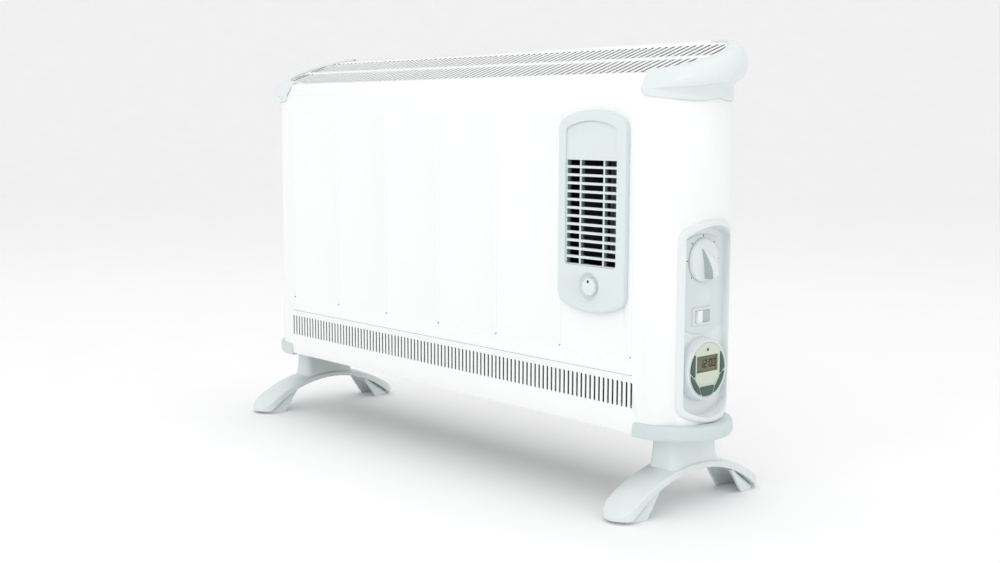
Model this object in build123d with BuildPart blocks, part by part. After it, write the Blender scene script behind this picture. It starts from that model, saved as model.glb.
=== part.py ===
from build123d import *
from math import atan, cos, degrees, radians, sin
import os

# Fan convector heater on two arched feet, in millimetres.
# +Z is up, +X points along the heater towards its control end, and the front faces -Y.
# The origin is on the floor, midway between the two feet.

os.makedirs("parts", exist_ok=True)

# ---------------------------------------------------------------- fits and stock
fit = 0.15            # gap left where one fixed piece sits inside another
run = 0.05            # radial clearance of a shaft or pin that turns in its hole
gap = 0.3             # air between a moving piece and its neighbours
sheet = 1.0           # steel sheet of the casing
wall = 2.5            # moulded plastic wall

# ---------------------------------------------------------------- casing
body_depth = 100.0    # front face to rear face
body_setback = 5.0    # how far the casing's middle stands in front of the feet's middle
flat_half = 287.0     # half length of the flat front
end_bulge = 37.7      # how far each rounded end reaches beyond the flat
body_corner = 28.0    # plan radius where the front turns into the end
casing_bottom = 71.0
crease_height = 380.0  # where the front turns into the leaning facet
facet_setback = 7.0
facet_rise = 13.5
top_slope = 0.35      # rise over run of the sloping top
hem_width = 8.0       # in-turned bottom flange
flap_width = 17.0     # rear flap, inwards from the flat's end
rear_flange = 22.0    # down-turned rear edge of the top grille
screw_radius = 2.0
screw_grip = 4.0      # screw beyond the sheet that it holds
cap_bolt_inset = 5.0  # cap's screw from its start and its lower edge

mid_y = -body_setback
front_y = mid_y - body_depth / 2
rear_y = mid_y + body_depth / 2
rear_inside = rear_y - sheet
body_apex = flat_half + end_bulge
slope_angle = degrees(atan(top_slope))
ridge_y = front_y + facet_setback
ridge_z = crease_height + facet_rise
rear_top = ridge_z + top_slope * (rear_y - ridge_y)
pan_z = casing_bottom + sheet
pan_top = pan_z + sheet

# ---------------------------------------------------------------- fan grille
bezel_half = 42.0
bezel_low = 176.5
bezel_high = 362.0
bezel_arch = 10.0
bezel_corner = 12.0
bezel_proud = 7.0
bezel_border = 10.0   # width of the bezel beside its opening
mouth_low = 219.7
mouth_arch = 7.0
mouth_corner = 3.0
louvre_rim = 1.0
louvre_setback = 2.0
blank_low = 316.5     # plain plate above the bars
bar_count = 12
bar_pitch = 7.55
bar_height = 2.4
bar_depth = 5.5
web_width = 2.2
knob_hole_z = 200.7
dish_radius = 12.9
dish_depth = 3.0
fan_knob_radius = 8.2
fan_knob_height = 4.0
spindle_radius = 3.0

mouth_half = bezel_half - bezel_border
mouth_high = bezel_high - bezel_border
web_offset = 0.46 * mouth_half

# ---------------------------------------------------------------- pressed detail
intake_pitch = 5.7
intake_width = 2.3
intake_low = 94.1
intake_high = 117.5
bead_height = 0.7     # how far pressed beads stand out
bead_line = 125.0     # height of the long horizontal bead
bead_margin = 13.0    # flat left beyond the bead's ends
rib_width = 4.4
rib_gap = 0.95        # flat left between the bezel and the ribs beside it
rib_low = 139.6
rib_high = 359.7

intake_count = 2 * int((flat_half - bead_margin) / intake_pitch) + 1
rib_pitch = 2 * bezel_half + rib_width + 2 * rib_gap
rib_count = 2 * int((flat_half - bead_margin) / rib_pitch) + 1
bezel_x = rib_pitch * (rib_count // 2 - 0.5)

# ---------------------------------------------------------------- top grille and end caps
grille_pitch = 8.52
grille_slot = 4.0
row_strip = 7.0       # solid strip between the two rows
strip_y = -3.4        # middle of that strip
grille_edge = 2.5     # metal left between the slots and the caps' opening
cap_lead = 7.0        # how far the caps reach along the flat front
cap_collar_drop = 8.5  # collar's lower edge below the crease
cap_skin = 1.2        # collar's stand-out over the front face
cap_end_skin = 2.8    # collar's stand-out at the end
cap_top = 2.6         # cap's thickness over the grille
visor_overhang = 18.3
visor_corner = 80.0
visor_rise = 0.11     # rise over run of the visor's underside
window_rim = 4.7      # cap left between its opening and the casing's end
window_margin = 10.0  # cap left in front of and behind its opening
window_corner = 22.0
window_shift = 4.0    # opening's middle behind the casing's middle

cap_start = flat_half - cap_lead
cap_collar_low = crease_height - cap_collar_drop
visor_reach = body_apex + visor_overhang
window_flat = flat_half + 1.0
window_reach = body_apex - window_rim
window_half = body_depth / 2 - window_margin
window_y = mid_y + window_shift
grille_columns = 2 * int(window_reach / grille_pitch)
front_row_depth = window_half + strip_y - window_y - row_strip / 2 + grille_edge
rear_row_depth = window_half - strip_y + window_y - row_strip / 2 - 3 * grille_edge

# ---------------------------------------------------------------- base trims and feet
trim_lead = 11.0      # how far the trims reach along the flat front
trim_floor = 2.5      # trim under the casing
trim_lap = 11.4       # trim up the casing's side
trim_skin = 1.0
trim_overhang = 12.3
trim_corner = 45.0
foot_inset = 33.7     # foot's middle, inwards from the casing's apex
foot_half_length = 100.3
foot_half_width = 18.0
arch_height = 35.0    # underside of the arch at its middle
arch_radius = 138.6
arch_skin = 5.8
crown_radius = 160.0  # side-view radius of the foot's top
tip_height = 3.0
post_depth = 63.0
post_width = 27.0
post_corner = 6.0
post_wall = 3.0
bolt_spread = 38.0    # between the two screws of a foot
pad_half_width = 16.0
pad_toe = 92.0        # pad's outer end at the floor
pad_heel = 70.0       # pad's inner end at the floor
pad_root = 56.0       # pad's inner end at the arch

trim_start = flat_half - trim_lead
trim_low = casing_bottom - trim_floor
trim_high = casing_bottom + trim_lap
trim_reach = body_apex + trim_overhang
foot_x = body_apex - foot_inset

# ---------------------------------------------------------------- control panel and timer
frame_half = 35.5
frame_high = 265.5
frame_arch = 10.0
frame_corner = 12.0
frame_rim = 2.5       # lap of the frame over the casing
frame_proud = 3.0
recess_depth = 13.7   # flat floor, inwards from the casing's apex
plate_arch = 7.0
plate_margin = 2.6
plate_skin = 1.0
thermostat_knob_radius = 19.7
thermostat_knob_height = 13.5
rocker_half_length = 9.2
rocker_half_width = 5.35
rocker_throw = 8.0    # degrees either side of level
switch_length = 27.0
switch_width = 16.0
pin_radius = 1.0
timer_margin = 0.7    # air between the timer's ring and the recess wall
timer_lift = 17.4     # ring's lower edge above the frame's lower edge
timer_proud = 9.5
timer_ring_width = 4.8
key_edge = 1.4        # face left outside the keys
key_line = 1.6        # face left between neighbouring keys
key_corner = 0.5
panel_waist = 8.0     # below the middle, where the plain panel starts to narrow
panel_foot = 15.2     # below the middle, where the plain panel ends
smile_radius = 33.0   # curve that parts the upper keys from the lower ones
smile_lift = 21.7     # that curve's middle above the dial's middle
key_travel = 0.8
display_lift = 5.8

well_half = frame_half - frame_rim - wall
frame_low = trim_high + 0.4
recess_floor = body_apex - recess_depth
floor_back = recess_floor - 2 * sheet
plate_face = recess_floor + plate_skin
timer_radius = well_half - timer_margin
timer_face_radius = timer_radius - timer_ring_width
timer_z = frame_low + timer_lift + timer_radius
key_outer = timer_face_radius - key_edge
panel_half = 0.74 * key_outer
foot_half = 0.48 * key_outer
display_length = 2 * panel_half - 5.0
display_height = 0.5 * display_length
plate_low = timer_z + timer_radius + 2.2
plate_high = frame_high - frame_rim - wall - 8.5
rocker_z = plate_low + switch_width
thermostat_z = plate_high - thermostat_knob_radius - 3.3

# ---------------------------------------------------------------- works inside
chamber_end = 49.5    # partition, inwards from the bezel's middle
element_margin = 31.5  # free length beyond each end of the elements
element_radius = 4.0
element_height = 140.0
element_spread = 22.0
fin_radius = 9.0
fin_pitch = 11.0
baffle_gap = 10.0     # casing's wall to baffle
impeller_low = 226.0
impeller_length = 112.0
blade_count = 24
shaft_radius = 2.0
bearing_radius = 5.0
stack_height = 18.0
stack_low = 188.0
rotor_radius = 12.6
gland_z = 100.0       # cable's way in through the rear panel
gland_radius = 7.0
gland_bore = 4.0
gland_inset = 35.0

partition_x = bezel_x - chamber_end
partition_top = crease_height - 15.0
element_length = partition_x + flat_half - 2 * element_margin
element_middle = (partition_x - flat_half) / 2 + 5.5
fin_count = int((element_length - 60) / fin_pitch) + 1
baffle_half = (partition_x - 4 + flat_half - 20) / 2
baffle_middle = partition_x - 4 - baffle_half
impeller_high = impeller_low + impeller_length
impeller_radius = mouth_half - 12.0
scroll_radius = impeller_radius + 4.0
gland_x = flat_half - gland_inset


# ---------------------------------------------------------------- shared outlines
def end_lines(start, flat, reach, half, corner, middle=mid_y):
    """Draw one end of a plan outline: two long sides, two corner arcs and the end arc."""
    rise = reach - flat
    end = (2 * half * corner - half**2 - rise**2) / (2 * (corner - rise))
    centre = reach - end
    share = end / (end - corner)
    touch_x = centre + (flat - centre) * share
    touch_y = (half - corner) * share
    Line((start, middle - half), (flat, middle - half))
    TangentArc((flat, middle - half), (touch_x, middle - touch_y), tangent=(1, 0))
    ThreePointArc((touch_x, middle - touch_y), (reach, middle), (touch_x, middle + touch_y))
    TangentArc((flat, middle + half), (touch_x, middle + touch_y), tangent=(1, 0))
    Line((flat, middle + half), (start, middle + half))


def end_face(start, flat, reach, half, corner, middle=mid_y, mode=Mode.ADD):
    """Fill the outline of one end, from X = start outwards."""
    with BuildLine() as outline:
        end_lines(start, flat, reach, half, corner, middle)
        Line((start, middle + half), (start, middle - half))
    make_face(outline.edges(), mode=mode)


def whole_face(flat, reach, half, corner, middle=mid_y, mode=Mode.ADD):
    """Fill a plan outline with both ends alike."""
    with BuildLine() as outline:
        end_lines(0, flat, reach, half, corner, middle)
        mirror(about=Plane.YZ)
    make_face(outline.edges(), mode=mode)


def casing_outline(grow=0.0):
    """Return the casing's plan outline, grown outwards all round."""
    return flat_half, body_apex + grow, body_depth / 2 + grow, body_corner + grow


def window_outline(grow=0.0):
    """Return the plan outline of the caps' opening round the grille."""
    return window_flat, window_reach + grow, window_half + grow, window_corner + grow


def arched_face(half, low, high, arch, corner, foot_arch=None, mode=Mode.ADD):
    """Fill an upright panel whose top edge bows upwards, and its bottom edge downwards."""
    foot = arch if foot_arch is None else foot_arch
    with BuildLine() as outline:
        Line((half, low + foot), (half, high - arch))
        ThreePointArc((half, high - arch), (0, high), (-half, high - arch))
        Line((-half, high - arch), (-half, low + foot))
        if foot:
            ThreePointArc((-half, low + foot), (0, low), (half, low + foot))
        else:
            Line((-half, low), (half, low))
    with BuildSketch() as panel:
        make_face(outline.edges())
        fillet(panel.vertices(), corner)
    add(panel.sketch, mode=mode)


def top_plane(lift=0.0):
    """Plane on the sloping top, lifted square to it."""
    angle = radians(slope_angle)
    return Plane(origin=(0, ridge_y, ridge_z), z_dir=(0, -sin(angle), cos(angle))).offset(lift)


def facet_plane(lift=0.0):
    """Plane on the leaning facet above the front crease, lifted square to it."""
    return Plane(origin=(0, front_y, crease_height), z_dir=(0, -facet_rise, facet_setback)).offset(lift)


def front_plane(proud=0.0):
    """Upright plane on the casing's front face, looking forwards."""
    return Plane.XZ.offset(-front_y + proud)


def pan_screw(plane, length, head_radius=3.8, head_height=2.2):
    """Add one pan-head screw: its head stands on the plane and its shank runs below it."""
    with BuildSketch(plane) as head:
        Circle(head_radius)
    extrude(head.sketch, amount=head_height)
    with BuildSketch(plane) as shank:
        Circle(screw_radius)
    extrude(shank.sketch, amount=-length)
    with BuildSketch(plane.offset(head_height)) as cross:
        Rectangle(head_radius * 1.2, 0.9)
        Rectangle(0.9, head_radius * 1.2)
    extrude(cross.sketch, amount=-head_height / 2, mode=Mode.SUBTRACT)


# ---------------------------------------------------------------- front casing
cap_bolts = [(side * (cap_start + cap_bolt_inset), cap_collar_low + cap_bolt_inset) for side in (-1, 1)]
rear_bolts = [(side * (flat_half - flap_width / 2), height) for side in (-1, 1)
              for height in (trim_high + 14, (trim_high + crease_height) / 2, crease_height - 30)]

with BuildPart() as front_casing:
    with BuildSketch(Plane.XY.offset(casing_bottom)):
        whole_face(*casing_outline())
        whole_face(*casing_outline(-sheet), mode=Mode.SUBTRACT)
        with Locations((0, rear_y - sheet / 2)):
            Rectangle(2 * (flat_half - flap_width), 4 * sheet, mode=Mode.SUBTRACT)
    extrude(amount=crease_height - casing_bottom)
    with BuildSketch(Plane.XY.offset(casing_bottom)):  # in-turned hem
        whole_face(*casing_outline(-sheet))
        whole_face(*casing_outline(-sheet - hem_width), mode=Mode.SUBTRACT)
        with Locations((0, rear_y)):
            Rectangle(2 * (flat_half - flap_width), 4 * hem_width, mode=Mode.SUBTRACT)
    extrude(amount=sheet)
    with BuildSketch(front_plane()):  # pressed ribs and the long bead
        with GridLocations(rib_pitch, 1, rib_count, 1):
            with Locations((0, (rib_low + rib_high) / 2)):
                SlotOverall(rib_high - rib_low, rib_width, rotation=90)
        with Locations((0, bead_line)):
            SlotOverall(2 * (flat_half - bead_margin), rib_width / 2)
    beads = extrude(amount=bead_height, taper=30)
    with BuildSketch(front_plane()):  # air intake
        with Locations((0, (intake_low + intake_high) / 2)):
            with GridLocations(intake_pitch, 1, intake_count, 1):
                SlotOverall(intake_high - intake_low, intake_width, rotation=90)
    extrude(amount=-2 * sheet, mode=Mode.SUBTRACT)
    with BuildSketch(front_plane(bead_height)):  # window behind the fan grille
        with Locations((bezel_x, 0)):
            arched_face(mouth_half + 3, knob_hole_z - dish_radius, mouth_high + 2, mouth_arch, 3, 0)
    extrude(amount=-3 * sheet, mode=Mode.SUBTRACT)
    with BuildSketch(Plane.YZ.offset(flat_half)):  # window behind the controls
        with Locations((mid_y, 0)):
            arched_face(frame_half - frame_rim + fit, frame_low + frame_rim - fit,
                        frame_high - frame_rim + fit, frame_arch, frame_corner - frame_rim)
    extrude(amount=2 * end_bulge, mode=Mode.SUBTRACT)
    with BuildSketch(Plane.XZ.offset(-rear_y)):
        with Locations(*rear_bolts, *cap_bolts):
            Circle(screw_radius + fit)
    extrude(amount=sheet, mode=Mode.SUBTRACT)
front_casing.part.label = "front_casing"
export_step(front_casing.part, "parts/front_casing.step")

# ---------------------------------------------------------------- top grille
with BuildPart() as grille_plan:  # the caps take the grille's ends, so those are cut to the casing
    with BuildSketch(Plane.XY.offset(crease_height)):
        whole_face(*casing_outline(-sheet - fit))
        with Locations((0, mid_y)):
            Rectangle(2 * (cap_start - fit), body_depth)
    extrude(amount=rear_top)

with BuildSketch() as slot_limit:  # metal is left round the caps' opening
    whole_face(*window_outline(-grille_edge), middle=window_y)
    with Locations((0, window_y)):
        Rectangle(2 * (cap_start - 2 * grille_edge), body_depth)

with BuildPart() as top_grille:
    with BuildSketch(Plane.YZ):
        with BuildLine():
            Polyline((front_y, crease_height), (ridge_y, ridge_z), (rear_y, rear_top),
                     (rear_y, rear_top - rear_flange))
            offset(amount=sheet, kind=Kind.INTERSECTION, side=Side.RIGHT)
        make_face()
    extrude(amount=body_apex, both=True)
    add(grille_plan.part, mode=Mode.INTERSECT)
    with BuildSketch(Plane.XY.offset(crease_height)):
        for row_depth, row_side in ((front_row_depth, -1), (rear_row_depth, 1)):
            with Locations((0, strip_y + row_side * (row_strip + row_depth) / 2)):
                with GridLocations(grille_pitch, 1, grille_columns, 1):
                    SlotOverall(row_depth, grille_slot, rotation=90)
        add(slot_limit.sketch, mode=Mode.INTERSECT)
    extrude(amount=rear_top, mode=Mode.SUBTRACT)
top_grille.part.label = "top_grille"
export_step(top_grille.part, "parts/top_grille.step")

# ---------------------------------------------------------------- rear panel and base pan
with BuildPart() as rear_panel:
    with BuildSketch(Plane.XZ.offset(-rear_inside)):
        with Locations((0, (casing_bottom + 2 * sheet + rear_top - 3) / 2)):
            Rectangle(2 * (flat_half - 1), rear_top - 3 - casing_bottom - 2 * sheet)
    extrude(amount=sheet)
    with BuildSketch(Plane.XZ.offset(-rear_inside)):  # air intake and the cable's hole
        with Locations((0, (intake_low + intake_high) / 2)):
            with GridLocations(2 * intake_pitch, 1, 2 * (intake_count // 5) + 1, 1):
                SlotOverall(intake_high - intake_low, 2 * intake_width, rotation=90)
        with Locations((gland_x, gland_z)):
            Circle(gland_radius)
        with Locations(*rear_bolts, *cap_bolts):
            Circle(screw_radius + fit)
    extrude(amount=sheet, mode=Mode.SUBTRACT)
rear_panel.part.label = "rear_panel"
export_step(rear_panel.part, "parts/rear_panel.step")

foot_bolts = [(side * foot_x, reach * bolt_spread / 2) for side in (-1, 1) for reach in (-1, 1)]
with BuildPart() as base_pan:
    with BuildSketch(Plane.XY.offset(pan_z)):
        whole_face(*casing_outline(-sheet - fit))
        with Locations((0, rear_y)):
            Rectangle(4 * flat_half, 2 * (2 * sheet + fit), mode=Mode.SUBTRACT)
        with Locations((0, mid_y)):
            with GridLocations(14, body_depth * 0.38, 2 * int((flat_half - 45) / 14), 2):
                SlotOverall(body_depth * 0.3, 5, rotation=90, mode=Mode.SUBTRACT)
        with Locations(*foot_bolts):
            Circle(screw_radius + fit, mode=Mode.SUBTRACT)
    extrude(amount=sheet)
base_pan.part.label = "base_pan"
export_step(base_pan.part, "parts/base_pan.step")

# ---------------------------------------------------------------- end caps
with BuildPart() as visor:
    with BuildSketch(Plane.XY.offset(cap_collar_low)):
        end_face(cap_start, flat_half, visor_reach, body_depth / 2 + cap_skin, visor_corner)
    extrude(amount=rear_top - cap_collar_low + cap_top)
    split(bisect_by=top_plane(cap_top), keep=Keep.BOTTOM)
    split(bisect_by=Plane(origin=(0, front_y, crease_height), z_dir=(0, -visor_rise, 1)), keep=Keep.TOP)
    split(bisect_by=facet_plane(cap_skin), keep=Keep.BOTTOM)

with BuildPart() as cap_cavity:  # room for the casing's end and the grille's end
    with BuildSketch(Plane.XY.offset(cap_collar_low - 1)):
        whole_face(*casing_outline(fit))
    extrude(amount=rear_top)
    split(bisect_by=top_plane(fit), keep=Keep.BOTTOM)
    split(bisect_by=facet_plane(fit), keep=Keep.BOTTOM)

with BuildPart() as end_cap_right:
    with BuildSketch(Plane.XY.offset(cap_collar_low)):
        end_face(cap_start, flat_half, body_apex + cap_end_skin, body_depth / 2 + cap_skin, body_corner)
    extrude(amount=rear_top - cap_collar_low)
    split(bisect_by=top_plane(), keep=Keep.BOTTOM)
    split(bisect_by=facet_plane(cap_skin), keep=Keep.BOTTOM)
    add(visor.part)
    add(cap_cavity.part, mode=Mode.SUBTRACT)
    with BuildSketch(Plane.XY.offset(cap_collar_low)):
        whole_face(*window_outline(), middle=window_y)
    extrude(amount=rear_top, mode=Mode.SUBTRACT)
    with BuildSketch(Plane.XZ.offset(-rear_y - 2 * cap_skin)):
        with Locations(*cap_bolts):
            Circle(screw_radius + fit)
    extrude(amount=4 * cap_skin, mode=Mode.SUBTRACT)
end_cap_right.part.label = "end_cap_right"
export_step(end_cap_right.part, "parts/end_cap_right.step")

with BuildPart() as end_cap_left:
    mirror(end_cap_right.part, about=Plane.YZ)
end_cap_left.part.label = "end_cap_left"
export_step(end_cap_left.part, "parts/end_cap_left.step")

# ---------------------------------------------------------------- base trims
with BuildPart() as base_trim_right:
    with BuildSketch(Plane.XY.offset(trim_low)):
        end_face(trim_start, flat_half, trim_reach, body_depth / 2 + trim_skin, trim_corner)
    extrude(amount=trim_high - trim_low)
    outer = base_trim_right.edges().filter_by(lambda edge: edge.center().X > flat_half - 2)
    fillet(outer.group_by(Axis.Z)[0], 4.0)
    rim = base_trim_right.edges().filter_by(lambda edge: edge.center().X > flat_half - 2)
    fillet(rim.group_by(Axis.Z)[-1], 3.0)
    with BuildSketch(Plane.XY.offset(casing_bottom)):
        whole_face(*casing_outline(fit))
    extrude(amount=trim_high, mode=Mode.SUBTRACT)
    with BuildSketch(Plane.XY.offset(trim_low)):
        with Locations(*foot_bolts):
            Circle(screw_radius + fit)
    extrude(amount=trim_high, mode=Mode.SUBTRACT)
base_trim_right.part.label = "base_trim_right"
export_step(base_trim_right.part, "parts/base_trim_right.step")

with BuildPart() as base_trim_left:
    mirror(base_trim_right.part, about=Plane.YZ)
base_trim_left.part.label = "base_trim_left"
export_step(base_trim_left.part, "parts/base_trim_left.step")

# ---------------------------------------------------------------- feet
arch_centre = arch_height - arch_radius
with BuildPart() as foot_leg:
    with BuildSketch(Plane.YZ.offset(foot_x)):
        with Locations((0, arch_height + arch_skin - crown_radius)):
            Circle(crown_radius)
        with Locations((0, tip_height + arch_height)):
            Rectangle(2 * crown_radius, 2 * arch_height, mode=Mode.INTERSECT)
        with Locations((0, arch_centre)):
            Circle(arch_radius, mode=Mode.SUBTRACT)
    extrude(amount=foot_half_width, both=True)
    with BuildSketch():
        with Locations((foot_x, 0)):
            SlotOverall(2 * foot_half_length, 2 * foot_half_width, rotation=90)
    extrude(amount=2 * arch_height, mode=Mode.INTERSECT)

with BuildPart() as foot_pad:
    with BuildSketch(Plane.YZ.offset(foot_x)):
        with BuildLine():
            Polyline((pad_heel, 0), (pad_toe, 0), (pad_toe + 4, 8), (pad_root, arch_height),
                     (pad_root, arch_height / 2), close=True)
        make_face()
        with Locations((0, arch_centre)):
            Circle(arch_radius + arch_skin / 2, mode=Mode.INTERSECT)
    extrude(amount=pad_half_width, both=True)
    with BuildSketch():
        with Locations((foot_x, 0)):
            SlotOverall(2 * (pad_toe + 3), 2 * pad_half_width, rotation=90)
    extrude(amount=arch_height, mode=Mode.INTERSECT)
    with BuildSketch():  # hollow underneath
        with Locations((foot_x, 0)):
            SlotOverall(2 * (pad_toe + 3 - wall), 2 * (pad_half_width - wall), rotation=90)
        with Locations((foot_x, (pad_heel + pad_toe) / 2)):
            Rectangle(2 * pad_half_width, pad_toe - pad_heel - 2 * wall, mode=Mode.INTERSECT)
    extrude(amount=arch_skin, mode=Mode.SUBTRACT)

with BuildPart() as foot_right:
    add(foot_leg.part)
    add(foot_pad.part)
    mirror(foot_pad.part, about=Plane.XZ)
    with BuildSketch(Plane.XY.offset(trim_low)):
        with Locations((foot_x, 0)):
            RectangleRounded(post_width, post_depth, post_corner)
    extrude(amount=arch_height - trim_low, taper=-1.5)
    with BuildSketch(Plane.XY.offset(trim_low - post_wall)):
        with Locations((foot_x, 0)):
            RectangleRounded(post_width - 2 * post_wall, post_depth - 2 * post_wall, post_corner / 2)
    extrude(amount=-trim_low, mode=Mode.SUBTRACT)
    with BuildSketch(Plane.XY.offset(trim_low)):
        with Locations(*foot_bolts):
            Circle(screw_radius + fit)
    extrude(amount=-2 * post_wall, mode=Mode.SUBTRACT)
foot_right.part.label = "foot_right"
export_step(foot_right.part, "parts/foot_right.step")

with BuildPart() as foot_left:
    mirror(foot_right.part, about=Plane.YZ)
foot_left.part.label = "foot_left"
export_step(foot_left.part, "parts/foot_left.step")

with BuildPart() as foot_screws:
    for bolt_x, bolt_y in foot_bolts:
        head_seat = Plane(origin=(bolt_x, bolt_y, trim_low - post_wall), z_dir=(0, 0, -1))
        pan_screw(head_seat, post_wall + pan_top - trim_low + 4)
foot_screws.part.label = "foot_screws"
export_step(foot_screws.part, "parts/foot_screws.step")

with BuildPart() as foot_nuts:
    with BuildSketch(Plane.XY.offset(pan_top)):
        with Locations(*foot_bolts):
            RegularPolygon(3.6, 6)
            Circle(screw_radius + run, mode=Mode.SUBTRACT)
    extrude(amount=3.2)
foot_nuts.part.label = "foot_nuts"
export_step(foot_nuts.part, "parts/foot_nuts.step")

with BuildPart() as rear_panel_screws:
    for bolt_x, bolt_z in rear_bolts:
        pan_screw(Plane(origin=(bolt_x, rear_y, bolt_z), z_dir=(0, 1, 0)), 5 * sheet)
rear_panel_screws.part.label = "rear_panel_screws"
export_step(rear_panel_screws.part, "parts/rear_panel_screws.step")

with BuildPart() as cap_screws:
    for bolt_x, bolt_z in cap_bolts:
        pan_screw(Plane(origin=(bolt_x, rear_y + cap_skin, bolt_z), z_dir=(0, 1, 0)),
                  cap_skin + 2 * sheet + screw_grip)
cap_screws.part.label = "cap_screws"
export_step(cap_screws.part, "parts/cap_screws.step")

# ---------------------------------------------------------------- fan grille
with BuildPart() as fan_bezel:
    with BuildSketch(front_plane()):
        with Locations((bezel_x, 0)):
            arched_face(bezel_half, bezel_low, bezel_high, bezel_arch, bezel_corner)
    extrude(amount=bezel_proud)
    fillet(fan_bezel.faces().sort_by(Axis.Y)[0].edges(), 3.0)
    with BuildSketch(front_plane(bezel_proud)):
        with Locations((bezel_x, 0)):
            arched_face(mouth_half, mouth_low, mouth_high, mouth_arch, mouth_corner, 0)
    extrude(amount=-2 * bezel_proud, mode=Mode.SUBTRACT)
    with BuildSketch(front_plane(bezel_proud)):
        with Locations((bezel_x, knob_hole_z)):
            Circle(dish_radius)
    extrude(amount=-dish_depth, mode=Mode.SUBTRACT)
    dish = fan_bezel.edges().filter_by(GeomType.CIRCLE).filter_by(
        lambda edge: abs(edge.radius - dish_radius) < 0.01)
    fillet(dish.sort_by(Axis.Y)[0], 1.5)
    with BuildSketch(front_plane(bezel_proud)):
        with Locations((bezel_x, knob_hole_z)):
            Circle(spindle_radius + run)
    extrude(amount=-2 * bezel_proud, mode=Mode.SUBTRACT)
fan_bezel.part.label = "fan_bezel"
export_step(fan_bezel.part, "parts/fan_bezel.step")

louvre_face = bezel_proud - louvre_setback
bars_middle = (mouth_low + louvre_rim + blank_low) / 2
with BuildPart() as fan_louvre:
    with BuildSketch(front_plane(louvre_face)):
        with Locations((bezel_x, 0)):
            arched_face(mouth_half - fit, mouth_low + fit, mouth_high - fit, mouth_arch, mouth_corner, 0)
    extrude(amount=-bar_depth)
    with BuildSketch(front_plane(louvre_face)):
        with Locations((bezel_x, bars_middle)):
            Rectangle(2 * (mouth_half - louvre_rim), blank_low - mouth_low - louvre_rim)
    extrude(amount=-2 * bar_depth, mode=Mode.SUBTRACT)
    with BuildSketch(front_plane(louvre_face - 1.0)):
        with Locations((bezel_x, bars_middle)):
            with GridLocations(2 * web_offset, 1, 2, 1):
                Rectangle(web_width, blank_low - mouth_low - louvre_rim)
    extrude(amount=-bar_depth + 1.0)
    with BuildSketch(front_plane(louvre_face - 0.5)):
        with Locations((bezel_x, bars_middle)):
            with GridLocations(1, bar_pitch, 1, bar_count):
                Rectangle(2 * (mouth_half - louvre_rim), bar_height)
    extrude(amount=-bar_depth + 0.5)
fan_louvre.part.label = "fan_louvre"
export_step(fan_louvre.part, "parts/fan_louvre.step")

knob_seat = bezel_proud - dish_depth + gap
with BuildPart() as fan_knob:
    with BuildSketch(front_plane(knob_seat)):
        with Locations((bezel_x, knob_hole_z)):
            Circle(fan_knob_radius)
    extrude(amount=fan_knob_height)
    fillet(fan_knob.faces().sort_by(Axis.Y)[0].edges(), 1.2)
    with BuildSketch(front_plane(knob_seat + fan_knob_height)):
        with Locations((bezel_x, knob_hole_z + fan_knob_radius * 0.6)):
            Circle(1.0)
    extrude(amount=-0.6, mode=Mode.SUBTRACT)
    with BuildSketch(front_plane(knob_seat)):
        with Locations((bezel_x, knob_hole_z)):
            Circle(spindle_radius)
    extrude(amount=-knob_seat - 8)
fan_knob.part.label = "fan_knob"
export_step(fan_knob.part, "parts/fan_knob.step")

with BuildPart() as fan_switch:
    with BuildSketch(front_plane(-3 * sheet)):
        with Locations((bezel_x, knob_hole_z)):
            RectangleRounded(26, 24, 2)
    extrude(amount=-18)
    with BuildSketch(front_plane(-3 * sheet)):
        with Locations((bezel_x, knob_hole_z)):
            Circle(spindle_radius + run)
    extrude(amount=-10, mode=Mode.SUBTRACT)
    with BuildSketch(front_plane(-3 * sheet - 18)):
        with Locations((bezel_x, knob_hole_z)):
            with GridLocations(8, 12, 3, 1):
                Rectangle(0.8, 6.3)
    extrude(amount=-7)
fan_switch.part.label = "fan_switch"
export_step(fan_switch.part, "parts/fan_switch.step")

# ---------------------------------------------------------------- control panel
with BuildPart() as frame_skin:  # the frame's face follows the rounded end, standing a little proud
    with BuildSketch(Plane.XY.offset(frame_low - 1)):
        whole_face(*casing_outline(frame_proud))
    extrude(amount=frame_high - frame_low + 2)

with BuildPart() as control_frame:
    with BuildSketch(Plane.YZ.offset(floor_back)):
        with Locations((mid_y, 0)):
            arched_face(frame_half, frame_low, frame_high, frame_arch, frame_corner)
    extrude(amount=visor_reach - floor_back)
    add(frame_skin.part, mode=Mode.INTERSECT)
    with BuildSketch(Plane.XY.offset(frame_low - 1)):  # the rim laps over the casing's skin
        whole_face(*casing_outline(0.02))
    lap = extrude(amount=frame_high - frame_low + 2, mode=Mode.PRIVATE)
    add(lap, mode=Mode.SUBTRACT)
    with BuildSketch(Plane.YZ.offset(floor_back)):
        with Locations((mid_y, 0)):
            arched_face(frame_half - frame_rim, frame_low + frame_rim, frame_high - frame_rim,
                        frame_arch, frame_corner - frame_rim)
    well = extrude(amount=visor_reach - floor_back, mode=Mode.PRIVATE)
    add(well & frame_skin.part)
    with BuildSketch(Plane.YZ.offset(recess_floor)):
        with Locations((mid_y, 0)):
            arched_face(frame_half - frame_rim - wall, frame_low + frame_rim + wall,
                        frame_high - frame_rim - wall, frame_arch, frame_corner - frame_rim)
    extrude(amount=visor_reach - recess_floor, mode=Mode.SUBTRACT)
    with BuildSketch(Plane.YZ.offset(floor_back)):
        with Locations((mid_y, thermostat_z)):
            Circle(spindle_radius + run)
        with Locations((mid_y, rocker_z)):
            Rectangle(switch_length - 3 + 2 * fit, switch_width - 3 + 2 * fit)
        with Locations((mid_y, timer_z)):
            Circle(timer_face_radius - wall)
    extrude(amount=2 * sheet, mode=Mode.SUBTRACT)
control_frame.part.label = "control_frame"
export_step(control_frame.part, "parts/control_frame.step")

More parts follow.
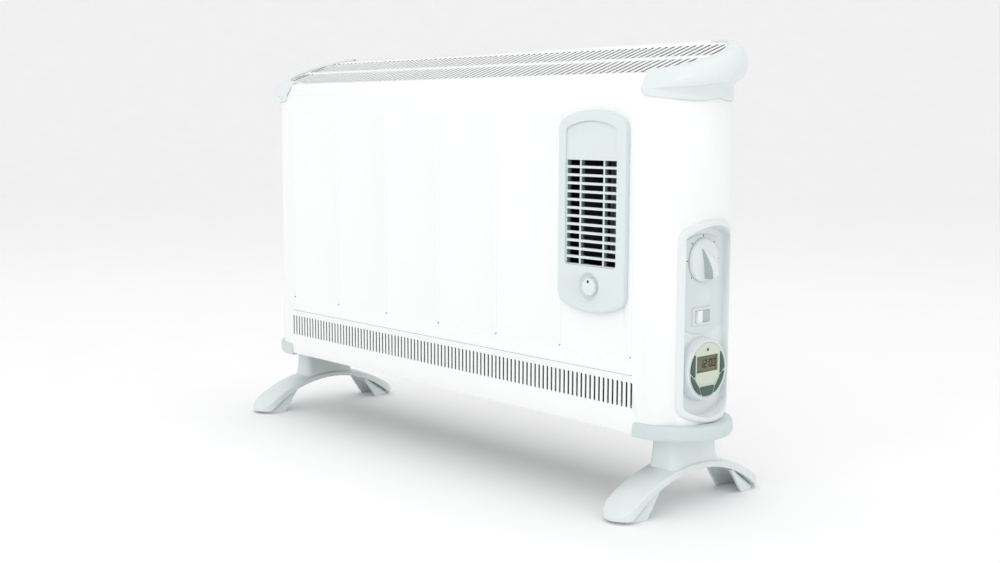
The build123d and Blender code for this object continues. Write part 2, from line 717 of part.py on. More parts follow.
with BuildPart() as control_plate:
    with BuildSketch(Plane.YZ.offset(recess_floor)):
        with Locations((mid_y, 0)):
            arched_face(frame_half - frame_rim - wall - plate_margin, plate_low, plate_high, plate_arch, 4.0)
    extrude(amount=plate_skin)
    fillet(control_plate.faces().sort_by(Axis.X)[-1].edges(), 0.5)
    with BuildSketch(Plane.YZ.offset(recess_floor)):
        with Locations((mid_y, thermostat_z)):
            Circle(spindle_radius + run)
        with Locations((mid_y, rocker_z)):
            Rectangle(switch_length - 3 + 2 * fit, switch_width - 3 + 2 * fit)
    extrude(amount=plate_skin, mode=Mode.SUBTRACT)
control_plate.part.label = "control_plate"
export_step(control_plate.part, "parts/control_plate.step")

knob_base = plate_face + gap
with BuildPart() as thermostat_knob:
    with BuildSketch(Plane.YZ.offset(knob_base)):
        with Locations((mid_y, thermostat_z)):
            Circle(thermostat_knob_radius)
    extrude(amount=thermostat_knob_height * 0.55, taper=4)
    fillet(thermostat_knob.faces().sort_by(Axis.X)[-1].edges(), 2.0)
    with BuildSketch(Plane.YZ.offset(knob_base + thermostat_knob_height * 0.55)):  # grip
        with Locations(Location((mid_y, thermostat_z, 0), (0, 0, 120))):
            Trapezoid(2 * thermostat_knob_radius - 8, 13, 78)
    extrude(amount=thermostat_knob_height * 0.45, taper=25)
    with BuildSketch(Plane.YZ.offset(knob_base)):
        with Locations((mid_y, thermostat_z)):
            Circle(spindle_radius)
    extrude(amount=-16)
thermostat_knob.part.label = "thermostat_knob"
export_step(thermostat_knob.part, "parts/thermostat_knob.step")

with BuildPart() as thermostat_body:
    with BuildSketch(Plane.YZ.offset(floor_back)):
        with Locations((mid_y, thermostat_z)):
            RectangleRounded(30, 34, 3)
    extrude(amount=-22)
    with BuildSketch(Plane.YZ.offset(floor_back)):
        with Locations((mid_y, thermostat_z)):
            Circle(spindle_radius + run)
    extrude(amount=-16, mode=Mode.SUBTRACT)
    with BuildSketch(Plane.YZ.offset(floor_back - 22)):
        with Locations((mid_y, thermostat_z)):
            with GridLocations(14, 16, 2, 2):
                Rectangle(6.3, 0.8)
    extrude(amount=-8)
thermostat_body.part.label = "thermostat_body"
export_step(thermostat_body.part, "parts/thermostat_body.step")

rocker_axis_x = plate_face - 3.0
pocket_half = rocker_half_length + 1.0
with BuildPart() as rocker_switch_body:
    with BuildSketch(Plane.YZ.offset(plate_face)):
        with Locations((mid_y, rocker_z)):
            RectangleRounded(switch_length, switch_width, 1)
    extrude(amount=1.3)
    fillet(rocker_switch_body.faces().sort_by(Axis.X)[-1].edges(), 0.5)
    with BuildSketch(Plane.YZ.offset(plate_face)):
        with Locations((mid_y, rocker_z)):
            Rectangle(switch_length - 3, switch_width - 3)
    extrude(amount=-20)
    with BuildSketch(Plane.YZ.offset(plate_face + 2)):
        with Locations((mid_y, rocker_z)):
            Rectangle(2 * pocket_half, 2 * (rocker_half_width + gap))
    extrude(amount=-14, mode=Mode.SUBTRACT)
    with Locations((rocker_axis_x, mid_y, rocker_z)):
        Cylinder(pin_radius + run, 2 * rocker_half_width + 2, mode=Mode.SUBTRACT)
rocker_switch_body.part.label = "rocker_switch_body"
export_step(rocker_switch_body.part, "parts/rocker_switch_body.step")

rest_tilt = Location((rocker_axis_x, mid_y, 0)) * Rotation(0, 0, rocker_throw)
with BuildPart() as heat_rocker:
    with BuildSketch(Plane.XY.offset(rocker_z - rocker_half_width)):
        with Locations((0, 0)):
            with BuildLine():
                Polyline((-3, -5), (2, -rocker_half_length), (5.2, -rocker_half_length), (3.9, 0),
                         (5.2, rocker_half_length), (2, rocker_half_length), (-3, 5), close=True)
            make_face()
    extrude(amount=2 * rocker_half_width)
    with Locations((0, 0, rocker_z)):
        Cylinder(pin_radius, 2 * rocker_half_width + 1.8)
heat_rocker.part = heat_rocker.part.moved(rest_tilt)
heat_rocker.part.label = "heat_rocker"
export_step(heat_rocker.part, "parts/heat_rocker.step")

# ---------------------------------------------------------------- timer
timer_face_x = recess_floor + timer_proud
face_skin = 1.6
board_x = recess_floor + 2.5
board_skin = 1.4
key_names = ("up_left", "low_left", "bottom", "low_right", "up_right")


def key_face(name, grow=0.0):
    """Return the face of a key, seen from the control end: the dial outside its plain middle."""
    low = -key_outer - key_line
    toe_half = foot_half - panel_foot / 4
    if name == "bottom":
        edge = [(foot_half - key_line, -panel_foot), (toe_half - key_line, low),
                (key_line - toe_half, low), (key_line - foot_half, -panel_foot)]
    else:
        edge = [(panel_half, key_outer), (panel_half, -panel_waist), (foot_half, -panel_foot),
                (toe_half, low), (2 * key_outer, low), (2 * key_outer, key_outer)]
    with BuildSketch() as key:
        Circle(key_outer)
        with BuildSketch(mode=Mode.INTERSECT):
            with BuildLine():
                Polyline(*edge, close=True)
            make_face()
        with Locations((0, smile_lift)):
            if name.startswith("up"):
                Circle(smile_radius - key_line / 2, mode=Mode.INTERSECT)
            elif name.startswith("low"):
                Circle(smile_radius + key_line / 2, mode=Mode.SUBTRACT)
        fillet(key.vertices(), key_corner)
        if grow:
            offset(amount=grow)
        if name.endswith("left"):
            mirror(about=Plane.YZ, mode=Mode.REPLACE)
    return key.sketch


with BuildPart() as timer_ring:
    with BuildSketch(Plane.YZ.offset(recess_floor)):
        with Locations((mid_y, timer_z)):
            Circle(timer_radius)
    extrude(amount=timer_proud, taper=22)
    fillet(timer_ring.faces().sort_by(Axis.X)[-1].edges(), 0.8)
    with BuildSketch(Plane.YZ.offset(recess_floor)):
        with Locations((mid_y, timer_z)):
            Circle(timer_face_radius - 1.2)
    extrude(amount=timer_proud, mode=Mode.SUBTRACT)
    with BuildSketch(Plane.YZ.offset(timer_face_x - face_skin)):
        with Locations((mid_y, timer_z)):
            Circle(timer_face_radius)
    extrude(amount=face_skin, mode=Mode.SUBTRACT)
timer_ring.part.label = "timer_ring"
export_step(timer_ring.part, "parts/timer_ring.step")

with BuildPart() as timer_face:
    with BuildSketch(Plane.YZ.offset(timer_face_x - face_skin)):
        with Locations((mid_y, timer_z)):
            Circle(timer_face_radius - fit)
        with Locations((mid_y, timer_z)):
            for key_name in key_names:
                add(key_face(key_name, gap), mode=Mode.SUBTRACT)
        with Locations((mid_y, timer_z + display_lift)):
            Rectangle(display_length, display_height, mode=Mode.SUBTRACT)
        with Locations((mid_y, timer_z + key_outer - 5)):
            Circle(1.0, mode=Mode.SUBTRACT)
    extrude(amount=face_skin - gap)
timer_face.part.label = "timer_face"
export_step(timer_face.part, "parts/timer_face.step")

with BuildPart() as timer_display:
    with BuildSketch(Plane.YZ.offset(timer_face_x - face_skin - 1.2)):
        with Locations((mid_y, timer_z + display_lift)):
            Rectangle(display_length + 2, display_height + 2)
    extrude(amount=1.2)
timer_display.part.label = "timer_display"
export_step(timer_display.part, "parts/timer_display.step")

for key_name in key_names:
    with BuildPart() as timer_key:
        with BuildSketch(Plane.YZ.offset(timer_face_x - face_skin - 1.2)):
            with Locations((mid_y, timer_z)):
                add(key_face(key_name))
        extrude(amount=face_skin + 1.2 + 0.5)
        fillet(timer_key.faces().sort_by(Axis.X)[-1].edges(), 0.3)
        stem_at = key_face(key_name).face().center()
        with BuildSketch(Plane.YZ.offset(timer_face_x - face_skin - 1.2)):
            with Locations((mid_y + stem_at.X, timer_z + stem_at.Y)):
                Circle(1.2)
        extrude(amount=-(timer_face_x - face_skin - 1.2 - board_x - board_skin - key_travel - gap))
    timer_key.part.label = f"timer_key_{key_name}"
    export_step(timer_key.part, f"parts/timer_key_{key_name}.step")

with BuildPart() as timer_board:
    with BuildSketch(Plane.YZ.offset(board_x)):
        with Locations((mid_y, timer_z)):
            Circle(timer_face_radius - 1.2 - fit)
    extrude(amount=board_skin)
timer_board.part.label = "timer_board"
export_step(timer_board.part, "parts/timer_board.step")

with BuildPart() as timer_case:
    with BuildSketch(Plane.YZ.offset(recess_floor + 1.0)):
        with Locations((mid_y, timer_z)):
            Circle(timer_face_radius - wall - fit)
    extrude(amount=-25)
    with BuildSketch(Plane.YZ.offset(recess_floor + 1.0)):
        with Locations((mid_y, timer_z)):
            Circle(timer_face_radius - 2 * wall)
    extrude(amount=-22, mode=Mode.SUBTRACT)
    with BuildSketch(Plane.YZ.offset(recess_floor + 1.0)):
        with Locations((mid_y, timer_z)):
            with PolarLocations(timer_face_radius - 1.6 * wall, 3):
                Circle(1.2)
    extrude(amount=board_x - recess_floor - 1.0)
timer_case.part.label = "timer_case"
export_step(timer_case.part, "parts/timer_case.step")

# ---------------------------------------------------------------- heating elements
for element_side, element_name in ((-1, "front"), (1, "rear")):
    axis_y = mid_y + element_side * element_spread / 2
    with BuildPart() as element:
        with BuildSketch(Plane.YZ.offset(element_middle)):
            with Locations((axis_y, element_height)):
                Circle(element_radius)
        extrude(amount=element_length / 2, both=True)
        with GridLocations(fin_pitch, 1, fin_count, 1):
            with Locations(Location((element_middle, axis_y, element_height), (0, 90, 0))):
                Cylinder(fin_radius, 0.8)
    element.part.label = f"element_{element_name}"
    export_step(element.part, f"parts/element_{element_name}.step")

bracket_reach = element_length / 2 - 12
with BuildPart() as ceramic_bushes:
    for bush_x in (element_middle - bracket_reach, element_middle + bracket_reach):
        with BuildSketch(Plane.YZ.offset(bush_x)):
            with GridLocations(element_spread, 1, 2, 1):
                with Locations((mid_y, element_height)):
                    Circle(element_radius + 2.5)
                    Circle(element_radius + run, mode=Mode.SUBTRACT)
        extrude(amount=4, both=True)
ceramic_bushes.part.label = "ceramic_bushes"
export_step(ceramic_bushes.part, "parts/ceramic_bushes.step")

for bracket_name, bracket_side in (("left", -1), ("right", 1)):
    bracket_x = element_middle + bracket_side * bracket_reach
    with BuildPart() as element_bracket:
        with BuildSketch(Plane.YZ.offset(bracket_x)):
            with Locations((mid_y, (pan_top + element_height + 14) / 2)):
                Rectangle(element_spread + 34, element_height + 14 - pan_top)
            with Locations((mid_y, element_height)):
                with GridLocations(element_spread, 1, 2, 1):
                    Circle(element_radius + 2.5 + fit, mode=Mode.SUBTRACT)
        extrude(amount=sheet / 2, both=True)
        with BuildSketch(Plane.XY.offset(pan_top)):
            with Locations((bracket_x - bracket_side * 6, mid_y)):
                Rectangle(12 + sheet, element_spread + 34)
        extrude(amount=sheet)
    element_bracket.part.label = f"element_bracket_{bracket_name}"
    export_step(element_bracket.part, f"parts/element_bracket_{bracket_name}.step")

for baffle_name, baffle_side in (("front", -1), ("rear", 1)):
    baffle_y = mid_y + baffle_side * (body_depth / 2 - baffle_gap)
    with BuildPart() as baffle:
        with BuildSketch(Plane.XZ.offset(-baffle_y)):
            with Locations((baffle_middle, (pan_top + partition_top) / 2)):
                Rectangle(2 * baffle_half, partition_top - pan_top)
            with Locations((baffle_middle, (intake_low + intake_high) / 2)):
                with GridLocations(60, 1, int(baffle_half / 30), 1):
                    RectangleRounded(48, intake_high - intake_low, 4, mode=Mode.SUBTRACT)
        extrude(amount=sheet / 2)
        with BuildSketch(Plane.XY.offset(pan_top)):
            with Locations((baffle_middle, baffle_y - baffle_side * 4)):
                Rectangle(2 * baffle_half, 8)
        extrude(amount=sheet)
    baffle.part.label = f"{baffle_name}_baffle"
    export_step(baffle.part, f"parts/{baffle_name}_baffle.step")

# ---------------------------------------------------------------- booster fan
with BuildPart() as fan_partition:
    with BuildSketch(Plane.YZ.offset(partition_x)):
        with Locations((mid_y, (pan_top + partition_top) / 2)):
            Rectangle(body_depth - 2 * baffle_gap, partition_top - pan_top)
        with Locations((mid_y + 8, (impeller_low + impeller_high) / 2)):
            RectangleRounded(30, impeller_length - 20, 4, mode=Mode.SUBTRACT)
    extrude(amount=sheet)
    with BuildSketch(Plane.XY.offset(pan_top)):
        with Locations((partition_x + 6, mid_y)):
            Rectangle(12, body_depth - 2 * baffle_gap)
    extrude(amount=sheet)
fan_partition.part.label = "fan_partition"
export_step(fan_partition.part, "parts/fan_partition.step")

with BuildPart() as fan_scroll:
    with BuildSketch(Plane.XY.offset(impeller_low)):
        with Locations((bezel_x, mid_y)):
            Circle(scroll_radius + sheet)
            Circle(scroll_radius, mode=Mode.SUBTRACT)
        with Locations((bezel_x, mid_y - scroll_radius)):
            Rectangle(4 * scroll_radius, 2 * scroll_radius, mode=Mode.SUBTRACT)
        for guide_side in (-1, 1):
            with Locations((bezel_x + guide_side * (scroll_radius + sheet / 2), (front_y + 6 + mid_y) / 2)):
                Rectangle(sheet, mid_y - front_y - 6)
        with Locations((bezel_x - scroll_radius, mid_y + 12)):
            Rectangle(14, 20, mode=Mode.SUBTRACT)
    extrude(amount=impeller_length)
fan_scroll.part.label = "fan_scroll"
export_step(fan_scroll.part, "parts/fan_scroll.step")

for plate_name, plate_z in (("low", impeller_low - 1.5), ("high", impeller_high)):
    with BuildPart() as fan_end_plate:
        with BuildSketch(Plane.XY.offset(plate_z)):
            with Locations((bezel_x, mid_y - 6)):
                RectangleRounded(2 * scroll_radius + 12, body_depth - 2 * baffle_gap, 4)
            with Locations((bezel_x, mid_y)):
                Circle(bearing_radius, mode=Mode.SUBTRACT)
        extrude(amount=1.5)
    fan_end_plate.part.label = f"fan_end_plate_{plate_name}"
    export_step(fan_end_plate.part, f"parts/fan_end_plate_{plate_name}.step")

with BuildPart() as fan_bearings:
    with BuildSketch(Plane.XY.offset(impeller_low - 3.5)):
        with Locations((bezel_x, mid_y)):
            Circle(bearing_radius)
            Circle(shaft_radius + run, mode=Mode.SUBTRACT)
    extrude(amount=3.2)
    with BuildSketch(Plane.XY.offset(impeller_high + 0.3)):
        with Locations((bezel_x, mid_y)):
            Circle(bearing_radius)
            Circle(shaft_radius + run, mode=Mode.SUBTRACT)
    extrude(amount=3.2)
fan_bearings.part.label = "fan_bearings"
export_step(fan_bearings.part, "parts/fan_bearings.step")

with BuildPart() as fan_impeller:
    for disc_z in (impeller_low + 1, (impeller_low + impeller_high) / 2, impeller_high - 2.5):
        with BuildSketch(Plane.XY.offset(disc_z)):
            with Locations((bezel_x, mid_y)):
                Circle(impeller_radius)
                Circle(shaft_radius, mode=Mode.SUBTRACT)
        extrude(amount=1.5)
    with BuildSketch(Plane.XY.offset(impeller_low + 1)):
        with Locations((bezel_x, mid_y)):
            with PolarLocations(impeller_radius - 2.2, blade_count):
                Rectangle(4.0, 0.8, rotation=35)
    extrude(amount=impeller_length - 2)
fan_impeller.part.label = "fan_impeller"
export_step(fan_impeller.part, "parts/fan_impeller.step")

with BuildPart() as fan_shaft:
    with Locations((bezel_x, mid_y, (stack_low - 8 + impeller_high + 6) / 2)):
        Cylinder(shaft_radius, impeller_high + 14 - stack_low)
fan_shaft.part.label = "fan_shaft"
export_step(fan_shaft.part, "parts/fan_shaft.step")

with BuildPart() as motor_rotor:
    with BuildSketch(Plane.XY.offset(stack_low)):
        with Locations((bezel_x, mid_y)):
            Circle(rotor_radius)
            Circle(shaft_radius, mode=Mode.SUBTRACT)
    extrude(amount=stack_height)
motor_rotor.part.label = "motor_rotor"
export_step(motor_rotor.part, "parts/motor_rotor.step")

with BuildPart() as motor_stator:
    with BuildSketch(Plane.XY.offset(stack_low)):
        with Locations((bezel_x, mid_y + 8)):
            Rectangle(48, 52)
        with Locations((bezel_x, mid_y + 24)):
            Rectangle(28, 8, mode=Mode.SUBTRACT)
        with Locations((bezel_x, mid_y)):
            Circle(rotor_radius + gap + run, mode=Mode.SUBTRACT)
    extrude(amount=stack_height)
motor_stator.part.label = "motor_stator"
export_step(motor_stator.part, "parts/motor_stator.step")

with BuildPart() as motor_coil:
    with BuildSketch(Plane.YZ.offset(bezel_x)):
        with Locations((mid_y + 31, stack_low + stack_height / 2)):
            RectangleRounded(13, stack_height + 10, 3)
            Rectangle(6 + 2 * fit, stack_height + 2 * fit, mode=Mode.SUBTRACT)
    extrude(amount=12, both=True)
motor_coil.part.label = "motor_coil"
export_step(motor_coil.part, "parts/motor_coil.step")

with BuildPart() as motor_bracket:
    for bridge_z in (stack_low - 4, stack_low + stack_height + 2):
        with BuildSketch(Plane.XY.offset(bridge_z)):
            with Locations((bezel_x, mid_y)):
                Rectangle(44, 14)
                Circle(shaft_radius + run, mode=Mode.SUBTRACT)
        extrude(amount=2)
    for post_side in (-1, 1):
        with BuildSketch(Plane.XY.offset(stack_low - 4)):
            with Locations((bezel_x + post_side * 18, mid_y)):
                Circle(2.5)
        extrude(amount=4)
        with BuildSketch(Plane.XY.offset(stack_low + stack_height)):
            with Locations((bezel_x + post_side * 18, mid_y)):
                Circle(2.5)
        extrude(amount=impeller_low - 1.5 - stack_low - stack_height)
motor_bracket.part.label = "motor_bracket"
export_step(motor_bracket.part, "parts/motor_bracket.step")

# ---------------------------------------------------------------- wiring
with BuildPart() as thermal_cutout:
    with BuildSketch(Plane.YZ.offset(partition_x + sheet)):
        with Locations((mid_y + 8, impeller_low - 40)):
            Circle(8)
    extrude(amount=6)
    with BuildSketch(Plane.YZ.offset(partition_x + sheet)):
        with Locations((mid_y + 8, impeller_low - 40)):
            SlotOverall(30, 9)
    extrude(amount=1.2)
thermal_cutout.part.label = "thermal_cutout"
export_step(thermal_cutout.part, "parts/thermal_cutout.step")

with BuildPart() as terminal_block:
    with BuildSketch(Plane.XY.offset(pan_top)):
        with Locations((gland_x, mid_y + 18)):
            RectangleRounded(34, 16, 2)
    extrude(amount=15)
    with BuildSketch(Plane.XY.offset(pan_top + 15)):
        with Locations((gland_x, mid_y + 18)):
            with GridLocations(10, 1, 3, 1):
                Circle(2.6)
    extrude(amount=-6, mode=Mode.SUBTRACT)
terminal_block.part.label = "terminal_block"
export_step(terminal_block.part, "parts/terminal_block.step")

with BuildPart() as cable_gland:
    with BuildSketch(Plane.XZ.offset(-rear_inside)):
        with Locations((gland_x, gland_z)):
            Circle(gland_radius + 3)
    extrude(amount=-3)
    with BuildSketch(Plane.XZ.offset(-rear_inside)):
        with Locations((gland_x, gland_z)):
            Circle(gland_radius - fit)
    extrude(amount=sheet + 9)
    with BuildSketch(Plane.XZ.offset(-rear_inside + sheet)):
        with Locations((gland_x, gland_z)):
            Circle(gland_bore)
    extrude(amount=30, both=True, mode=Mode.SUBTRACT)
cable_gland.part.label = "cable_gland"
export_step(cable_gland.part, "parts/cable_gland.step")
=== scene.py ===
import logging
import math
from abc import ABC, abstractmethod
from dataclasses import dataclass, field, replace
from enum import Enum
from typing import Callable, Iterable, Sequence

import bmesh
import bpy
import numpy as np
from mathutils import Matrix, Vector
from mathutils.geometry import delaunay_2d_cdt


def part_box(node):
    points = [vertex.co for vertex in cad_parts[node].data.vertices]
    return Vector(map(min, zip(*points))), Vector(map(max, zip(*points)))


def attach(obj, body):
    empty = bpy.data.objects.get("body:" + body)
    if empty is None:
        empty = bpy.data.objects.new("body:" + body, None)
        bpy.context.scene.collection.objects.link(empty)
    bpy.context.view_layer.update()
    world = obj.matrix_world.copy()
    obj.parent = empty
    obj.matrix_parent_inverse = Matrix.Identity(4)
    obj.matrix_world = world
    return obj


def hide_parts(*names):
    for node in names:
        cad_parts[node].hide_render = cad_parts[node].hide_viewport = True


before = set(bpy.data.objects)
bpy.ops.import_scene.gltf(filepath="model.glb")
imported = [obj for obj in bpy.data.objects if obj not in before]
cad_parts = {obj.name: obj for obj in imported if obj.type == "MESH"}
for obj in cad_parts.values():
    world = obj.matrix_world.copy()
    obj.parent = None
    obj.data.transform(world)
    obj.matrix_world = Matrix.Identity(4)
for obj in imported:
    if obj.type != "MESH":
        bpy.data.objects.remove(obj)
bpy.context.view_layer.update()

log = logging.getLogger("convector_heater")

MM = 0.001
MICRON_PLACES = 6  # decimals of a metre
Colour = tuple[float, float, float]
Ring = np.ndarray  # an N x 3 array of points, in metres


# ------------------------------------------------------------------ shader maths
class Signal:
    """A shader socket that takes part in Python arithmetic; every operation adds a Math node."""

    def __init__(self, graph: "Graph", socket: bpy.types.NodeSocket) -> None:
        """Wrap one output socket of a graph."""
        self.graph = graph
        self.socket = socket

    def _maths(self, operation: str, *terms: "Signal | float") -> "Signal":
        """Add one Math node.

        Args:
            operation: the Math node's operation.
            terms: its inputs in order, signals or plain numbers.

        Returns:
            The node's result.
        """
        inputs = dict(enumerate(terms))
        return self.graph.node("ShaderNodeMath", {"operation": operation}, inputs).value()

    def __add__(self, other: "Signal | float") -> "Signal":
        """Return self + other."""
        return self._maths("ADD", self, other)

    __radd__ = __add__

    def __sub__(self, other: "Signal | float") -> "Signal":
        """Return self - other."""
        return self._maths("SUBTRACT", self, other)

    def __rsub__(self, other: "Signal | float") -> "Signal":
        """Return other - self."""
        return self._maths("SUBTRACT", other, self)

    def __mul__(self, other: "Signal | float") -> "Signal":
        """Return self * other."""
        return self._maths("MULTIPLY", self, other)

    __rmul__ = __mul__

    def ramp(self, low: float, high: float) -> "Signal":
        """Return 0 below low, 1 above high and a smooth rise between."""
        settings = {"interpolation_type": "SMOOTHSTEP"}
        inputs = {"Value": self, "From Min": low, "From Max": high}
        return self.graph.node("ShaderNodeMapRange", settings, inputs).value()


class Made:
    """A node just made, with short ways to its outputs."""

    def __init__(self, graph: "Graph", node: bpy.types.Node) -> None:
        """Keep the node and the graph it is in."""
        self.graph = graph
        self.node = node

    def value(self, output: int | str = 0) -> Signal:
        """Return one output as a signal."""
        return Signal(self.graph, self.node.outputs[output])


class Graph:
    """A material's node tree, with one method that makes any node."""

    def __init__(self, name: str) -> None:
        """Start an empty material with an output node."""
        self.material = bpy.data.materials.new(name)
        self.material.use_nodes = True
        self.tree = self.material.node_tree
        self.tree.nodes.clear()
        self.output = self.tree.nodes.new("ShaderNodeOutputMaterial")

    def node(self, kind: str, settings: dict | None = None, inputs: dict | None = None) -> Made:
        """Make a node, set it up and connect it.

        Args:
            kind: the node's type, such as "ShaderNodeTexNoise".
            settings: attributes set first; "stops" holds a ramp's (position, colour) pairs.
            inputs: a value or a signal for each socket, by name or number.

        Returns:
            The node that was made.
        """
        node = self.tree.nodes.new(kind)
        for key, setting in (settings or {}).items():
            if key == "stops":
                self._set_stops(node.color_ramp, setting)
            else:
                setattr(node, key, setting)
        for key, term in (inputs or {}).items():
            if isinstance(term, Signal):
                self.tree.links.new(term.socket, node.inputs[key])
            else:
                node.inputs[key].default_value = term
        return Made(self, node)

    @staticmethod
    def _set_stops(ramp: bpy.types.ColorRamp, stops: Sequence[tuple[float, Colour]]) -> None:
        """Give a ramp its stops."""
        while len(ramp.elements) > 1:
            ramp.elements.remove(ramp.elements[-1])
        for number, (position, colour) in enumerate(stops):
            element = ramp.elements[0] if number == 0 else ramp.elements.new(position)
            element.position = position
            element.color = (*colour, 1.0)

    def place(self) -> Signal:
        """Return the position on the piece, in metres, as it moves with the piece."""
        return self.node("ShaderNodeTexCoord").value("Object")

    def stretched(self, scale: tuple[float, float, float]) -> Signal:
        """Return the position with each axis scaled."""
        inputs = {"Vector": self.place(), "Scale": scale}
        return self.node("ShaderNodeMapping", {}, inputs).value()

    def noise(self, per_metre: float, detail: float = 3.0, where: Signal | None = None) -> Signal:
        """Return soft random variation.

        Args:
            per_metre: how many blotches fit in a metre.
            detail: how many finer layers are added.
            where: the position to use instead of the piece's own.

        Returns:
            A signal between 0 and 1.
        """
        inputs = {"Vector": where or self.place(), "Scale": per_metre, "Detail": detail}
        return self.node("ShaderNodeTexNoise", {}, inputs).value(0)

    def grains(self, per_metre: float) -> Signal:
        """Return cell distances, for pits and speckle."""
        inputs = {"Vector": self.place(), "Scale": per_metre}
        return self.node("ShaderNodeTexVoronoi", {"feature": "F1"}, inputs).value("Distance")

    def blend(self, share: Signal, first: Colour, second: Colour) -> Signal:
        """Return a colour between two, by share."""
        inputs = {0: share, 6: (*first, 1.0), 7: (*second, 1.0)}
        return self.node("ShaderNodeMix", {"data_type": "RGBA"}, inputs).value(2)

    def veil(self, share: Signal, under: Signal, over: Colour) -> Signal:
        """Lay a plain colour over a varied one, by share."""
        inputs = {0: share, 6: under, 7: (*over, 1.0)}
        return self.node("ShaderNodeMix", {"data_type": "RGBA"}, inputs).value(2)

    def convex_edges(self, reach: float) -> Signal:
        """Return 1 along convex edges, fading over reach metres."""
        soft = self.node("ShaderNodeBevel", {"samples": 4}, {"Radius": reach}).value()
        true = self.node("ShaderNodeNewGeometry").value("Normal")
        settings = {"operation": "DOT_PRODUCT"}
        flat = self.node("ShaderNodeVectorMath", settings, {0: soft, 1: true}).value("Value")
        return (1.0 - flat).ramp(0.02, 0.25)

    def bump(self, height: Signal, distance: float, strength: float = 1.0) -> Signal:
        """Turn a height signal into a normal."""
        inputs = {"Height": height, "Distance": distance, "Strength": strength}
        return self.node("ShaderNodeBump", {}, inputs).value()

    def surface(self, **sockets: "Signal | float | Colour") -> None:
        """Finish the material with one Principled shader.

        Args:
            sockets: values or signals by socket name, with underscores for spaces.
        """
        inputs = {}
        for key, term in sockets.items():
            name = key.replace("_", " ")
            inputs[name] = (*term, 1.0) if isinstance(term, tuple) else term
        shader = self.node("ShaderNodeBsdfPrincipled", {}, inputs).node
        self.tree.links.new(shader.outputs[0], self.output.inputs["Surface"])


# ------------------------------------------------------------------ finishes
@dataclass(frozen=True)
class Finish(ABC):
    """A surface finish, made once and shared by the pieces that have it."""

    name: str
    colour: Colour
    roughness: float

    def material(self) -> bpy.types.Material:
        """Return the finish's material, making it the first time."""
        known = bpy.data.materials.get(self.name)
        if known is not None:
            return known
        graph = Graph(self.name)
        self.paint(graph)
        return graph.material

    def shade(self, factor: float) -> Colour:
        """Return the finish's colour, made lighter or darker."""
        red, green, blue = (min(1.0, part * factor) for part in self.colour)
        return red, green, blue

    @abstractmethod
    def paint(self, graph: Graph) -> None:
        """Fill the material's nodes."""


@dataclass(frozen=True)
class StoveEnamel(Finish):
    """Sprayed and baked enamel on sheet steel, with a faint orange peel."""

    peel: float = 0.012 * MM
    coat: float = 0.25

    def paint(self, graph: Graph) -> None:
        """Vary tint and gloss slowly, and ripple the coat finely."""
        drift = graph.noise(9.0, 2.0)
        peel = graph.noise(620.0, 2.0)
        dust = graph.grains(2600.0)
        graph.surface(
            Base_Color=graph.blend(drift, self.shade(0.985), self.shade(1.01)),
            Roughness=self.roughness + 0.05 * drift + 0.04 * peel,
            Coat_Weight=self.coat,
            Coat_Roughness=0.12,
            Normal=graph.bump(peel + 0.1 * dust, self.peel),
        )


@dataclass(frozen=True)
class MouldedPlastic(Finish):
    """Injection-moulded plastic with a fine eroded grain and slow flow marks."""

    grain: float = 0.02 * MM
    grain_size: float = 0.45 * MM

    def paint(self, graph: Graph) -> None:
        """Grain the skin, drift its tint, and make the convex edges lighter and less rough."""
        drift = graph.noise(14.0, 3.0)
        grain = graph.noise(1.0 / self.grain_size, 3.0)
        pits = graph.grains(0.6 / self.grain_size)
        edge = graph.convex_edges(0.8 * MM)
        body = graph.blend(drift, self.shade(0.97), self.shade(1.02))
        graph.surface(
            Base_Color=graph.veil(edge * 0.35, body, self.shade(1.08)),
            Roughness=self.roughness + 0.06 * drift + 0.07 * grain - 0.08 * edge,
            Specular_IOR_Level=0.45,
            Normal=graph.bump(grain + 0.5 * pits, self.grain),
        )


@dataclass(frozen=True)
class ZincPlate(Finish):
    """Zinc-coated sheet steel with soft spangle and rolling marks."""

    spangle: float = 120.0

    def paint(self, graph: Graph) -> None:
        """Lay crystal patches over long rolling streaks."""
        patches = graph.node("ShaderNodeTexVoronoi", {"feature": "F1"},
                             {"Vector": graph.place(), "Scale": self.spangle}).value("Color")
        grey = graph.node("ShaderNodeSeparateColor", {}, {"Color": patches}).value(0)
        streaks = graph.noise(90.0, 4.0, graph.stretched((1.0, 12.0, 12.0)))
        graph.surface(
            Base_Color=graph.blend(grey, self.shade(0.86), self.shade(1.08)),
            Roughness=self.roughness + 0.12 * grey + 0.08 * streaks,
            Metallic=0.9,
            Normal=graph.bump(streaks, 0.01 * MM),
        )


@dataclass(frozen=True)
class BareMetal(Finish):
    """Plain metal, turned, drawn or stacked, with fine lines along one axis."""

    lines: tuple[float, float, float] = (1.0, 1.0, 40.0)
    depth: float = 0.02 * MM

    def paint(self, graph: Graph) -> None:
        """Draw fine lines across the chosen axis and dull them unevenly."""
        fine = graph.noise(400.0, 3.0, graph.stretched(self.lines))
        stain = graph.noise(40.0, 4.0)
        graph.surface(
            Base_Color=graph.blend(stain, self.shade(0.75), self.shade(1.12)),
            Roughness=self.roughness + 0.15 * stain + 0.1 * fine,
            Metallic=1.0,
            Normal=graph.bump(fine, self.depth),
        )


@dataclass(frozen=True)
class Matt(Finish):
    """A dry, non-metallic stock: unglazed ceramic or circuit laminate."""

    speckle: float = 900.0
    depth: float = 0.03 * MM

    def paint(self, graph: Graph) -> None:
        """Speckle and roughen the stock."""
        fine = graph.noise(self.speckle, 4.0)
        graph.surface(
            Base_Color=graph.blend(fine, self.shade(0.82), self.shade(1.1)),
            Roughness=self.roughness + 0.1 * fine,
            Normal=graph.bump(fine, self.depth),
        )


